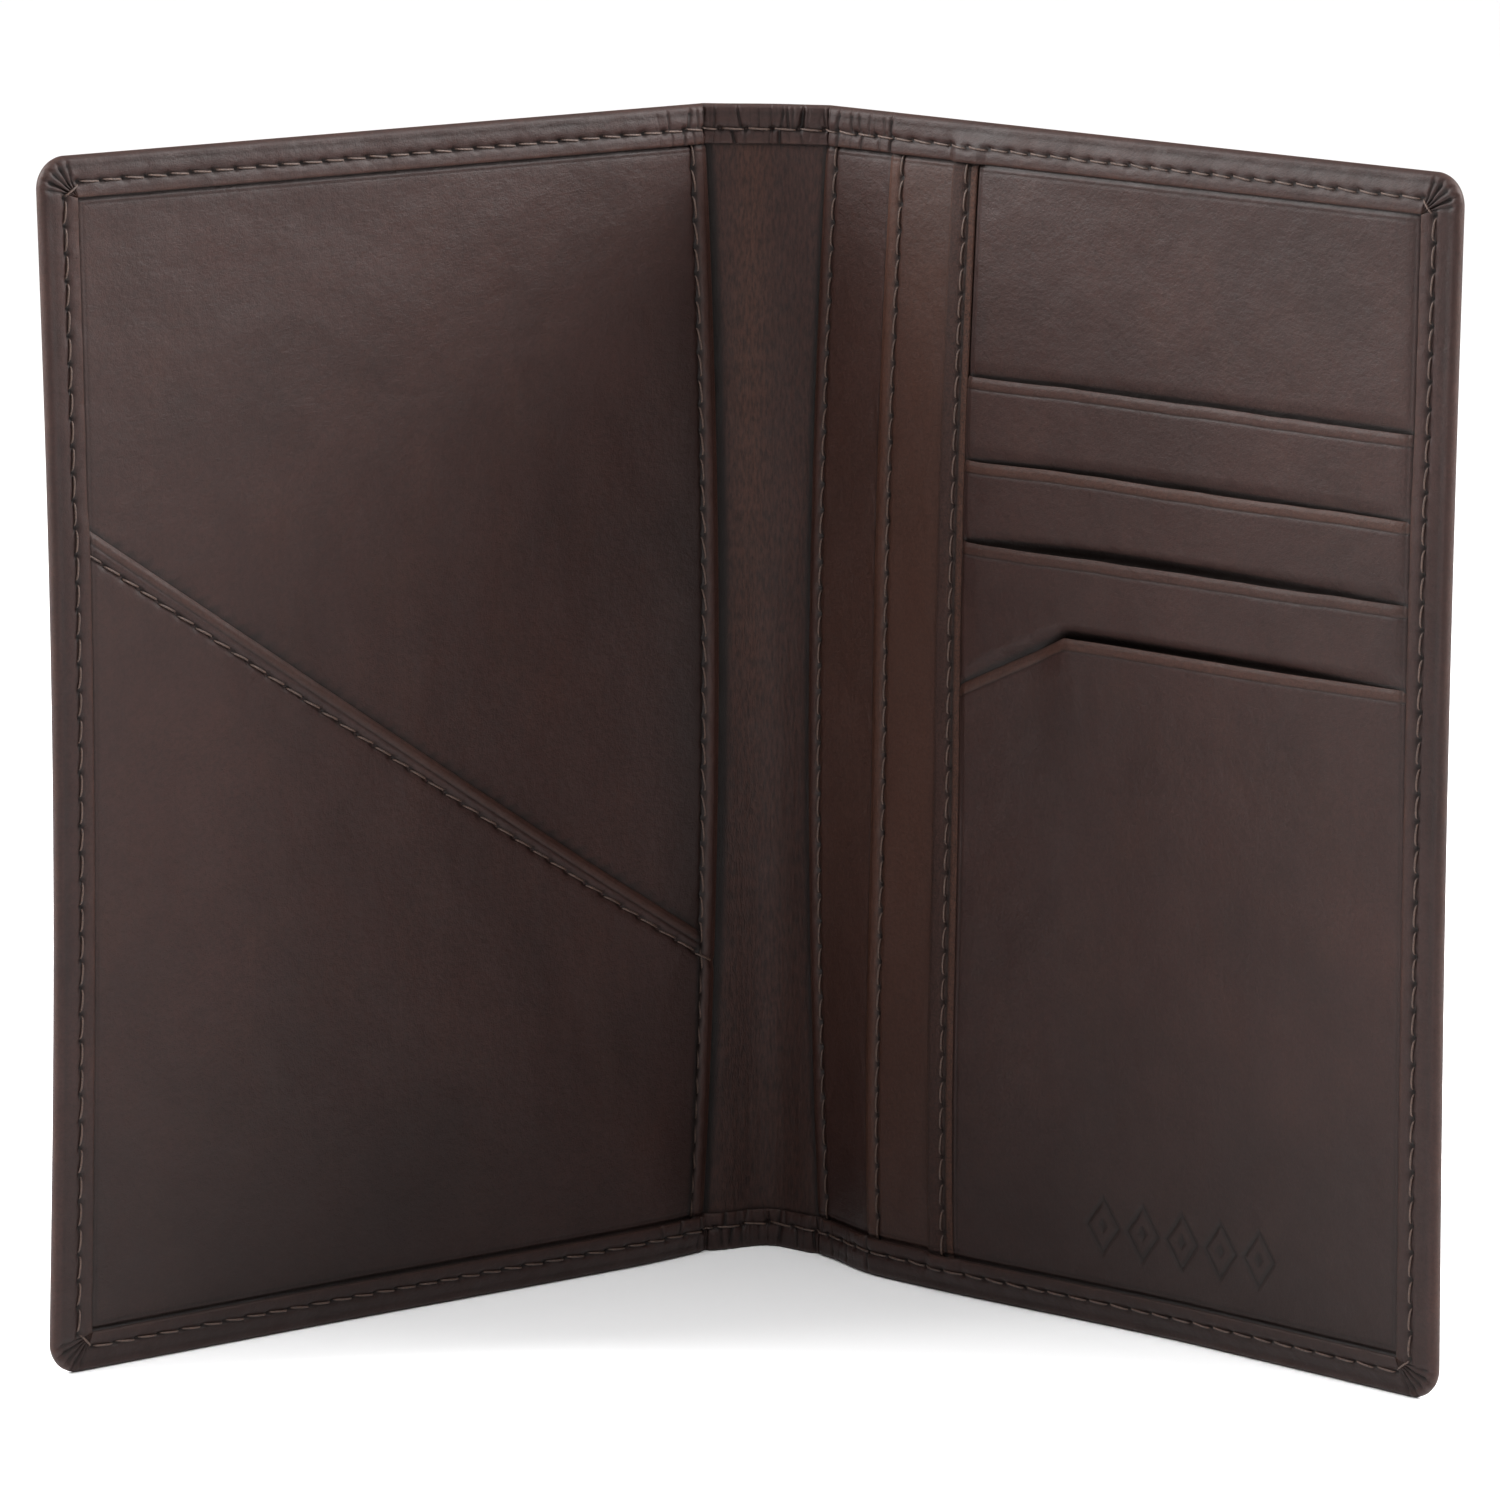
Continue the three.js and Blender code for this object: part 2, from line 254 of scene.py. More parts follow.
# ---- Seams: straight stitch lines in a cover's (u, z) plane ----

Seam = namedtuple("Seam", "start way length count pitch")


def seam(start, end):
    """A stitch line between two (u, z) points."""
    start, end = np.array(start, float), np.array(end, float)
    length = float(np.hypot(*(end - start)))
    count = max(1, round(length / STITCH_PITCH))
    return Seam(start, (end - start) / length, length, count, length / count)


UPRIGHT = (EDGE_WIDTH - 0.4, HEIGHT - EDGE_WIDTH + 0.4)


def upright_seam(u):
    return seam((u, UPRIGHT[0]), (u, UPRIGHT[1]))


def diagonal_height(u):
    return DIAGONAL[0] + (DIAGONAL[1] - DIAGONAL[0]) * u / COVER_WIDTH


DIAGONAL_SLOPE = (DIAGONAL[1] - DIAGONAL[0]) / COVER_WIDTH
DIAGONAL_DROP = 2.05 * math.hypot(1, DIAGONAL_SLOPE)

SEAMS = {
    "passport_sleeve": upright_seam(SLEEVE_EDGE + SEAM_INSET),
    "inner_slip_pocket": upright_seam(INNER_EDGE + SEAM_INSET - 0.3),
    "outer_slip_pocket": upright_seam(OUTER_SLIP_START + SEAM_INSET),
    "card_panel": upright_seam(PANEL_START + SEAM_INSET + 0.35),
    "diagonal_pocket": seam(
        (SLEEVE_EDGE + 0.3, diagonal_height(SLEEVE_EDGE) - DIAGONAL_DROP),
        (COVER_WIDTH - EDGE_WIDTH + 0.5, diagonal_height(COVER_WIDTH - EDGE_WIDTH) - DIAGONAL_DROP),
    ),
}


def stitched(u, z, line):
    """Depth of the groove and needle holes that a seam presses into leather, and the holes alone."""
    du, dz = u - line.start[0], z - line.start[1]
    run = du * line.way[0] + dz * line.way[1]
    aside = du * line.way[1] - dz * line.way[0]
    on_line = smooth((run + 1) * 2) * smooth((line.length + 1 - run) * 2)
    to_hole = (run / line.pitch - np.round(run / line.pitch)) * line.pitch
    hole = ridge(aside, HOLE_WIDTH) * ridge(to_hole, HOLE_LENGTH) * on_line
    return GROOVE_DEPTH * ridge(aside, GROOVE_WIDTH) * on_line + HOLE_DEPTH * hole, hole


def hole_rows(pitch, count):
    """Places along a seam where its leather needs a row of mesh: six to each stitch."""
    holes = np.arange(count + 1) * pitch
    beside = 0.36
    offsets = np.array([-beside, 0, beside, 1.0, pitch / 2, pitch - 1.0])
    return (holes[:, None] + offsets).reshape(-1)


def seam_shade(u, line, hole):
    """Painted shade in an upright seam's holes and its groove."""
    return hole + 0.5 * ridge(u - line.start[0], 0.3)


def rim_shadow(u, z):
    """The groove that the turned edge presses into a pocket beside it and a pressed line further in, and painted
    shade in both.
    """
    inside = np.minimum(np.minimum(z, HEIGHT - z), COVER_WIDTH - u) - EDGE_WIDTH
    beside = ridge(inside - 0.1, 0.26)
    line = ridge(inside - 0.85, 0.14)
    return 0.22 * beside + 0.06 * line, 0.8 * beside + 0.3 * line


def foot_shade(u, z):
    """Painted shade: the leather is darker towards the lower outer corner of each cover."""
    return 0.5 * smooth((50 - z) / 42) * smooth((u - 4) / 60)


def under_edge(place, edge, reach=0.5):
    """Shade on a sheet beside and under the free edge of the sheet above it."""
    return 0.9 * smooth((place - edge + reach) / reach)


BESIDE_RIM = np.arange(-0.3, 1.2, FINE)  # places of mesh rows, from the turned edge's inner side
RIM_FINE = (COVER_WIDTH - EDGE_WIDTH - 0.45, 0.75, FINE)


# ---- Mesh building ----

def grid_of(columns, rows):
    return np.meshgrid(columns, rows, indexing="ij")


def spaced(low, high, step, fine=()):
    """Values from low to high, step apart, closer together near each (centre, reach, step) in fine."""
    values = [low]
    while values[-1] < high - 1e-6:
        here = values[-1]
        size = step
        for centre, reach, small in fine:
            away = max(0.0, abs(here - centre) - reach)
            size = min(size, small + away * 0.35)
        values.append(min(here + size, high))
    if len(values) > 2 and values[-1] - values[-2] < 0.3 * (values[-2] - values[-3]):
        del values[-2]
    return np.array(values)


def weld(mesh):
    """Joins vertices that lie in the same place."""
    work = bmesh.new()
    work.from_mesh(mesh)
    bmesh.ops.remove_doubles(work, verts=work.verts, dist=1e-7)
    work.to_mesh(mesh)
    work.free()


class Surface:
    """Collects vertices with their place on the flat leather, and faces, for one mesh."""

    def __init__(self, cover=None):
        self.cover = cover
        self.points, self.flat, self.warm, self.dark, self.faces = [], [], [], [], []
        self.count = 0

    def add(self, s, depth, z, warm=0.0, dark=0.0):
        """Adds points wrapped round the wallet. Returns their indices in the shape of s."""
        s, depth, z, warm, dark = np.broadcast_arrays(s, depth, z, warm, dark)
        self.points.append(wrap(s, depth, z, self.cover).reshape(-1, 3))
        self.flat.append(np.stack([s, z, depth], axis=-1).reshape(-1, 3))
        self.warm.append(warm.reshape(-1))
        self.dark.append(dark.reshape(-1))
        indices = np.arange(self.count, self.count + s.size).reshape(s.shape)
        self.count += s.size
        return indices

    def grid(self, indices, flip=False, closed=False):
        """Quads between the rows and columns of indices; closed joins the last column to the first."""
        if closed:
            indices = np.concatenate([indices, indices[:, :1]], axis=1)
        a, b = indices[:-1, :-1], indices[1:, :-1]
        c, d = indices[1:, 1:], indices[:-1, 1:]
        quads = np.stack([a, d, c, b] if flip else [a, b, c, d], axis=-1).reshape(-1, 4)
        self.faces.extend(quads.tolist())

    def polygon(self, indices):
        self.faces.append([int(index) for index in indices])

    def inside_out(self, points):
        """True if the closed mesh's faces look inwards."""
        volume = 0.0
        by_size = {}
        for face in self.faces:
            by_size.setdefault(len(face), []).append(face)
        for faces in by_size.values():
            corners = points[np.array(faces)]
            for step in range(1, corners.shape[1] - 1):
                cross = np.cross(corners[:, step], corners[:, step + 1])
                volume += float(np.sum(corners[:, 0] * cross))
        return volume < 0

    def build(self, name, material):
        mesh = bpy.data.meshes.new(name)
        points = np.concatenate(self.points)
        points = points - points.mean(axis=0)
        faces = self.faces
        if self.inside_out(points):
            faces = [face[::-1] for face in faces]
        mesh.from_pydata(np.concatenate(self.points), [], faces)
        for label, kind, values in (
            ("flat", "FLOAT_VECTOR", np.concatenate(self.flat).reshape(-1)),
            ("warm", "FLOAT", np.concatenate(self.warm)),
            ("dark", "FLOAT", np.concatenate(self.dark)),
        ):
            key = "vector" if kind == "FLOAT_VECTOR" else "value"
            mesh.attributes.new(label, kind, "POINT").data.foreach_set(key, values.astype(np.float32))
        mesh.materials.append(material)
        weld(mesh)
        mesh.polygons.foreach_set("use_smooth", np.ones(len(mesh.polygons), bool))
        mesh.update()
        piece = bpy.data.objects.new(name, mesh)
        bpy.context.scene.collection.objects.link(piece)
        return piece


def ring_of(grid):
    """The outer loop of a grid of indices, once round."""
    return np.concatenate([grid[:-1, 0], grid[-1, :-1], grid[:0:-1, -1], grid[0, :0:-1]])


def leather_sheet(name, side, u, z, front, thickness, material,
                  colour=(0.0, 0.0), bends=False):
    """A closed thin sheet over the (u, z) grid, with its front face at depth front and round edges.

    colour holds how warm and how dark the leather is, painted light and shade included, bends says that it crosses
    the crease."""
    surface = Surface(None if bends else side)
    warm, dark = (np.broadcast_to(value, u.shape) for value in colour)
    front = np.broadcast_to(front, u.shape)
    face = surface.add(along(side, u), front, z, warm, dark)
    back = surface.add(along(side, u), front - thickness, z, warm, dark)
    surface.grid(face)
    surface.grid(back, flip=True)
    loop = ring_of(face)
    place = loop - face.min()
    edge_u, edge_z, edge_depth, edge_warm, edge_dark = (
        values.reshape(-1)[place] for values in (u, z, front, warm, dark)
    )
    out_u, out_z = loop_normals(edge_u, edge_z)
    rows = [loop]
    for angle in np.linspace(0, math.pi, 6)[1:-1]:
        swell = thickness / 2 * math.sin(angle)
        depth = edge_depth - thickness / 2 * (1 - math.cos(angle))
        rows.append(surface.add(
            along(side, edge_u + out_u * swell), depth, edge_z + out_z * swell, edge_warm, edge_dark,
        ))
    rows.append(ring_of(back))
    surface.grid(np.array(rows), closed=True)
    piece = surface.build(name, material)
    return piece


def loop_normals(u, z):
    """Outward directions of a closed loop in the (u, z) plane."""
    du = np.roll(u, -1) - np.roll(u, 1)
    dz = np.roll(z, -1) - np.roll(z, 1)
    length = np.maximum(np.hypot(du, dz), 1e-9)
    area = np.sum(u * np.roll(z, -1) - np.roll(u, -1) * z)
    turn = 1 if area > 0 else -1
    return turn * dz / length, -turn * du / length


def attach(piece, side, *nodes):
    """Bakes a piece's transform and lets it stand for CAD nodes, which it hides."""
    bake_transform(piece)
    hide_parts(*nodes)


def pocket(node, side, u, z, front, thickness, material, warm, dark,
           beside=rim_shadow, darkest=0.95):
    """A pocket's sheet, pressed and given painted shade beside what holds its edges. It stands for a CAD node."""
    groove, shade = beside(u, z)
    dark = np.clip(dark + shade, 0, darkest)
    sheet = leather_sheet(
        node + "_leather", side, u, z, front - groove, thickness, material, (warm, dark))
    attach(sheet, side, node)


# ---- Camera, floor and light ----

def add_camera():
    """A long lens a little above the wallet, looking along +Y."""
    target = Vector((-0.0004, 0.0372, 0.0627))
    elevation = math.radians(10.6)
    distance = 1.018
    data = bpy.data.cameras.new("camera")
    data.sensor_width = 36
    data.lens = 200
    data.clip_start = 0.05
    camera = bpy.data.objects.new("camera", data)
    bpy.context.scene.collection.objects.link(camera)
    back = Vector((0, -math.cos(elevation), math.sin(elevation)))
    camera.location = target + back * distance
    roll = math.radians(-0.3)
    camera.rotation_euler = (math.pi / 2 - elevation, roll, 0)
    bpy.context.scene.camera = camera


def add_floor():
    half = 3.0
    mesh = bpy.data.meshes.new("floor")
    corners = [(-half, -half, 0), (half, -half, 0), (half, half, 0), (-half, half, 0)]
    mesh.from_pydata(corners, [], [(0, 1, 2, 3)])
    make = Nodes("floor")
    make.paint(PALE_FLOOR, 0.6)
    make.set(make.shader["Specular IOR Level"], 0.1)
    mesh.materials.append(make.material)
    floor = bpy.data.objects.new("floor", mesh)
    bpy.context.scene.collection.objects.link(floor)


def add_soft_light(name, place, aim, size, power, spread):
    """A rectangular soft box whose beam is kept to a cone of the given angle in degrees."""
    data = bpy.data.lights.new(name, "AREA")
    data.shape = "RECTANGLE"
    data.size, data.size_y = size
    data.energy = power
    data.spread = math.radians(spread)
    light = bpy.data.objects.new(name, data)
    bpy.context.scene.collection.objects.link(light)
    light.location = place
    way = Vector(aim) - Vector(place)
    light.rotation_euler = way.to_track_quat("-Z", "Y").to_euler()


def add_studio():
    world = bpy.data.worlds.new("studio")
    bpy.context.scene.world = world
    world.use_nodes = True
    background = world.node_tree.nodes["Background"]
    background.inputs["Color"].default_value = (1, 1, 1, 1)
    background.inputs["Strength"].default_value = 0.1
    data = bpy.data.lights.new("overhead", "SUN")
    data.energy = 3.3
    data.angle = math.radians(100)
    overhead = bpy.data.objects.new("overhead", data)
    bpy.context.scene.collection.objects.link(overhead)
    overhead.rotation_euler = (math.radians(8), 0, 0)
    aim = (0, 0, 0.12)
    add_soft_light("front_box", (0, -0.5, 0.6), aim, (0.6, 0.4), 0.85, 120)
    for side, power in ((LEFT, 8.3), (RIGHT, 9.2)):
        place = (side * 0.5, 0.02, 0.38)
        add_soft_light("side_box_" + COVER[side], place, aim, (0.35, 0.35), power, 180)
    bpy.context.scene.view_settings.view_transform = "Standard"


# ---- Materials ----

MIX_FIRST, MIX_SECOND, MIX_RESULT = 6, 7, 2  # the colour sockets of a Mix node


class Nodes:
    """Short calls for building one material's node tree."""

    def __init__(self, name):
        self.material = bpy.data.materials.new(name)
        self.material.use_nodes = True
        self.tree = self.material.node_tree
        self.shader = self.tree.nodes["Principled BSDF"].inputs

    def set(self, socket, value):
        """Gives a socket a number, a tuple or another node's output."""
        if isinstance(value, bpy.types.NodeSocket):
            self.tree.links.new(value, socket)
        else:
            socket.default_value = value

    def add(self, kind, output, sockets, **settings):
        """Adds a node with these settings and socket values, and returns one of its outputs."""
        node = self.tree.nodes.new("ShaderNode" + kind)
        for name, value in settings.items():
            setattr(node, name, value)
        for name, value in sockets.items():
            self.set(node.inputs[name], value)
        return node.outputs[output]

    def attribute(self, name, output="Fac"):
        return self.add("Attribute", output, {}, attribute_name=name)

    def stretched(self, vector, scale):
        return self.add("Mapping", "Vector", {"Vector": vector, "Scale": scale})

    def noise(self, vector, scale, detail=3.0, roughness=0.55):
        sockets = {"Vector": vector, "Scale": scale, "Detail": detail, "Roughness": roughness}
        return self.add("TexNoise", "Fac", sockets)

    def cells(self, vector, scale):
        sockets = {"Vector": vector, "Scale": scale}
        return self.add("TexVoronoi", "Distance", sockets, feature="DISTANCE_TO_EDGE")

    def remap(self, value, low, high, to_low, to_high):
        sockets = {"Value": value, "From Min": low, "From Max": high, "To Min": to_low, "To Max": to_high}
        return self.add("MapRange", "Result", sockets)

    def math(self, operation, first, second):
        return self.add("Math", "Value", {0: first, 1: second}, operation=operation)

    def mix(self, factor, first, second):
        """Mixes two colours, each a tuple or a socket."""
        colours = {MIX_FIRST: first, MIX_SECOND: second}
        return self.add("Mix", MIX_RESULT, {"Factor": factor, **colours}, data_type="RGBA")

    def bump(self, height, distance, below=None):
        """Bumps the surface, on top of another bump's normal if given. The distance is in metres."""
        sockets = {"Height": height, "Distance": distance, "Strength": 1.0}
        if below is not None:
            sockets["Normal"] = below
        return self.add("Bump", "Normal", sockets)

    def paint(self, colour, roughness, normal=None):
        """Gives the shader its colour, its roughness and, if there is one, its bumped normal."""
        self.set(self.shader["Base Color"], colour)
        self.set(self.shader["Roughness"], roughness)
        if normal is not None:
            self.set(self.shader["Normal"], normal)


DEEP_BROWN = (0.0150, 0.0060, 0.0048, 1)
MID_BROWN = (0.0240, 0.0098, 0.0079, 1)
WARM_BROWN = (0.060, 0.0235, 0.0130, 1)
NEAR_BLACK = (0.004, 0.002, 0.0015, 1)
DARK_THREAD = (0.014, 0.0065, 0.0042, 1)
LIGHT_THREAD = (0.07, 0.036, 0.023, 1)
DARK_BOARD = (0.2, 0.17, 0.13, 1)
LIGHT_BOARD = (0.3, 0.26, 0.21, 1)
PALE_FLOOR = (0.92, 0.92, 0.925, 1)


def leather(name, warmth=0.0, grain=(1.0, 1.0), grain_depth=1.0, roughness=0.42):
    """Smooth waxed leather. grain stretches its pores along the sheet's width and height."""
    make = Nodes(name)
    flat = make.attribute("flat", "Vector")
    cloud = make.remap(make.noise(flat, 0.05, 6.0, 0.62), 0.3, 0.72, 0, 1)
    colour = make.mix(cloud, DEEP_BROWN, MID_BROWN)
    patches = make.noise(make.stretched(flat, (1.0, 0.55, 1.0)), 0.16, 5.0, 0.65)
    rub = make.remap(patches, 0.5, 0.85, 0, 0.12)
    colour = make.mix(make.math("ADD", rub, warmth), colour, WARM_BROWN)
    # The warm attribute holds the leather's warmer tone at folds and worn edges, and painted light at mid height
    # on the slip pockets.
    colour = make.mix(make.attribute("warm"), colour, WARM_BROWN)
    pores = make.stretched(flat, (grain[0], grain[1], 1.0))
    streak = make.remap(make.noise(pores, 2.2, 3.0, 0.7), 0.35, 0.6, 0.45, 0.0)
    colour = make.mix(make.math("MULTIPLY", streak, grain_depth), colour, NEAR_BLACK)
    # The dark attribute holds painted shade beside edges, in creases, holes, grooves and slot mouths and towards
    # each cover's foot, and the debossed motif's darker tone.
    colour = make.mix(make.attribute("dark"), colour, NEAR_BLACK)
    shine = make.remap(make.noise(flat, 0.3, 4.0, 0.6), 0.3, 0.7, roughness + 0.08, roughness + 0.19)
    cells = make.remap(make.cells(pores, 2.6), 0.0, 0.12, 0.0, 1.0)
    normal = make.bump(cells, 0.000012 * grain_depth)
    normal = make.bump(make.noise(pores, 1.6, 5.0, 0.6), 0.00009 * grain_depth, normal)
    normal = make.bump(make.noise(flat, 0.12, 3.0, 0.5), 0.00045, normal)
    make.paint(colour, shine, normal)
    make.set(make.shader["Specular IOR Level"], 0.2)
    return make.material


def waxed_thread():
    make = Nodes("waxed_thread")
    flat = make.attribute("flat", "Vector")
    twist = make.noise(make.stretched(flat, (3.0, 3.0, 3.0)), 2.0, 2.0)
    shade = make.remap(twist, 0.35, 0.65, 0, 1)
    make.paint(make.mix(shade, DARK_THREAD, LIGHT_THREAD), 0.6, make.bump(twist, 0.00008))
    return make.material


def board():
    make = Nodes("stiffener_board")
    shade = make.remap(make.noise(make.attribute("flat", "Vector"), 0.9, 4.0), 0.3, 0.7, 0, 1)
    make.paint(make.mix(shade, DARK_BOARD, LIGHT_BOARD), 0.9)
    return make.material


SHELL_LEATHER = leather("shell_leather", grain_depth=0.8)
POCKET_LEATHER = leather("pocket_leather", grain_depth=0.85, roughness=0.4)
SUEDE_LEATHER = leather("suede_leather", warmth=0.05, grain=(1.6, 1.6), grain_depth=1.6, roughness=0.62)
WARM_LEATHER = leather("warm_pocket_leather", warmth=0.17, grain_depth=0.8)
LINING_LEATHER = leather("lining_leather", warmth=0.1, grain=(1.3, 0.3), grain_depth=1.6, roughness=0.5)
THREAD = waxed_thread()
BOARD = board()


# ---- The shell leather with its turned edges, one half each side of the spine's middle ----

def half_outline():
    """Outer edge and inner side of the turned edge, from the spine's middle at the head, round
    the cover and back to the spine's middle at the foot, densely sampled as (u, z) points.

    The third value runs from 0 to 1 round each corner, and is 0 elsewhere."""
    dense = 0.02
    start = -HALF_SPINE
    straight = COVER_WIDTH - CORNER_RADIUS
    middle = HEIGHT / 2
    head = np.arange(start, straight, dense)
    down = np.arange(HEIGHT - CORNER_RADIUS, CORNER_RADIUS, -dense)
    turn = np.radians(np.linspace(90, 0, 240))
    bend = CORNER_RADIUS * np.stack([np.cos(turn), np.sin(turn)], -1)
    outer = np.concatenate([
        np.stack([head, np.full(head.shape, HEIGHT)], -1),
        (straight, HEIGHT - CORNER_RADIUS) + bend,
        np.stack([np.full(down.shape, COVER_WIDTH), down], -1),
        (straight, CORNER_RADIUS) + bend[::-1] * (1, -1),
        np.stack([head[::-1], np.zeros(head.shape)], -1),
    ])
    inner = outer.copy()
    shrink_u = (COVER_WIDTH - EDGE_WIDTH - start) / (straight - start)
    shrink_z = (middle - EDGE_WIDTH) / (middle - CORNER_RADIUS)
    inner[:, 0] = np.minimum(start + (outer[:, 0] - start) * shrink_u, COVER_WIDTH - EDGE_WIDTH)
    reach = middle - EDGE_WIDTH
    inner[:, 1] = middle + np.clip((outer[:, 1] - middle) * shrink_z, -reach, reach)
    level, rising = np.zeros(len(head)), np.linspace(0, 1, len(turn))
    corner = np.concatenate([level, rising, np.zeros(len(down)), rising, level])
    return outer, inner, corner


def lengths(path):
    """Distance along a path at each of its points."""
    return np.concatenate([[0], np.cumsum(np.hypot(*np.diff(path, axis=0).T))])


OUTER, INNER, CORNER_TURN = half_outline()
OUTER_RUN = lengths(OUTER)
STITCH_RUN = lengths(OUTER + (INNER - OUTER) * STITCH_INSET / EDGE_WIDTH)
RIM_STITCHES = round(STITCH_RUN[-1] / STITCH_PITCH)
RIM_PITCH = STITCH_RUN[-1] / RIM_STITCHES


def outline_at(path, t):
    """Points of the outer edge or the inner side, at distances along the outer edge."""
    return np.stack([np.interp(t, OUTER_RUN, path[:, 0]), np.interp(t, OUTER_RUN, path[:, 1])], -1)


def outline_stations():
    """Distances along the outer edge where the rim has a cross-section."""
    runs = np.clip(hole_rows(RIM_PITCH, RIM_STITCHES), 0, STITCH_RUN[-1])
    at_stitches = np.interp(runs, STITCH_RUN, OUTER_RUN)
    gathered = np.arange(0, HALF_SPINE + 12, 0.14)
    quarter = CORNER_RADIUS * math.pi / 2
    first_corner = HALF_SPINE + COVER_WIDTH - CORNER_RADIUS
    bend = first_corner + np.linspace(0, quarter, 30)
    total = OUTER_RUN[-1]
    every = np.sort(np.concatenate([
        [0, total], at_stitches, gathered, total - gathered, bend, total - bend,
    ]))
    kept = [every[0]]
    for value in every[1:]:
        if value - kept[-1] > 0.07:
            kept.append(value)
    kept[-1] = total
    return np.array(kept)


def waver(t, seed, wavelength=30.0):
    """A gentle irregular wave between about -1 and 1."""
    chance = random.Random(seed)
    total = np.zeros(np.shape(t))
    for octave in range(5):
        size = wavelength / 1.7 ** octave
        total += np.sin(2 * math.pi * t / size + chance.uniform(0, 6.28)) * 0.6 / 1.3 ** octave
    return total / 1.6


def gather_marks(seed, side):
    """Place, depth, width and lean of each small crease gathered across the spine and beside it."""
    chance = random.Random(seed)
    marks = []
    place = -HALF_SPINE + 0.2
    bend = BEND_SHIFT[side][1]
    while place < 11:
        fade = 1.0 if place < bend + 1 else 0.65
        deep = chance.uniform(0, 1) ** 2
        marks.append((place, fade * (0.07 + 0.4 * deep), 0.09 + 0.14 * deep, chance.uniform(-0.25, 0.25)))
        place += chance.uniform(0.35, 1.5) if place < bend + 1 else chance.uniform(0.9, 3.2)
    marks.append((bend, 0.5, 0.26, 0.04))
    if side == RIGHT:
        marks.append((OUTER_SLIP_START, 0.42, 0.22, -0.03))
    return marks


def gathers(side, u, v, t):
    """Depth of the creases gathered in the turned edge where it passes the spine."""
    foot = t > OUTER_RUN[-1] / 2
    total = np.zeros(np.broadcast(u, v).shape)
    for level, (low, high) in enumerate(((0.7, 2.9), (3.1, 4.9))):
        span = smooth((v - low) / 0.5 + 0.5) * smooth((high - v) / 0.5 + 0.5)
        for end in (False, True):
            seed = 11 + level + 5 * end + 20 * (side == RIGHT)
            for place, depth, width, lean in gather_marks(seed, side):
                away = u - place - lean * (v - STITCH_INSET)
                total = total + depth * ridge(away, width) * span * (foot == end)
    return np.minimum(total, 0.6)


# Place round the corner, from 0 to 1, depth and lean of each pleat.
PLEATS = (
    (0.1, 0.25, 0.03), (0.32, 0.42, 0.02), (0.52, 0.34, -0.01), (0.74, 0.42, -0.02), (0.92, 0.25, -0.03))


def pleats(v, turn):
    """Depth of the pleats that take up the leather round a corner."""
    total = np.zeros(np.broadcast(v, turn).shape)
    for place, depth, lean in PLEATS:
        total = total + depth * ridge(turn - place - lean * (v - 2), 0.042)
    return total * smooth(v / 0.8) * (turn > 0)


def edge_thickness(side, u, z):
    return np.minimum(rim_depth(side, u, z), 1.95)


def rim_front(side, u, z, v):
    """Depth of the turned edge's face at distance v from the outer edge, before its creases."""
    thick = edge_thickness(side, u, z)
    return thick + (rim_depth(side, u, z) - thick) * smooth((v - 0.9) / 2.9)


def rim_holes(v, run):
    to_hole = run - np.round(run / RIM_PITCH) * RIM_PITCH
    return ridge(v - STITCH_INSET, HOLE_WIDTH) * ridge(to_hole, HOLE_LENGTH)


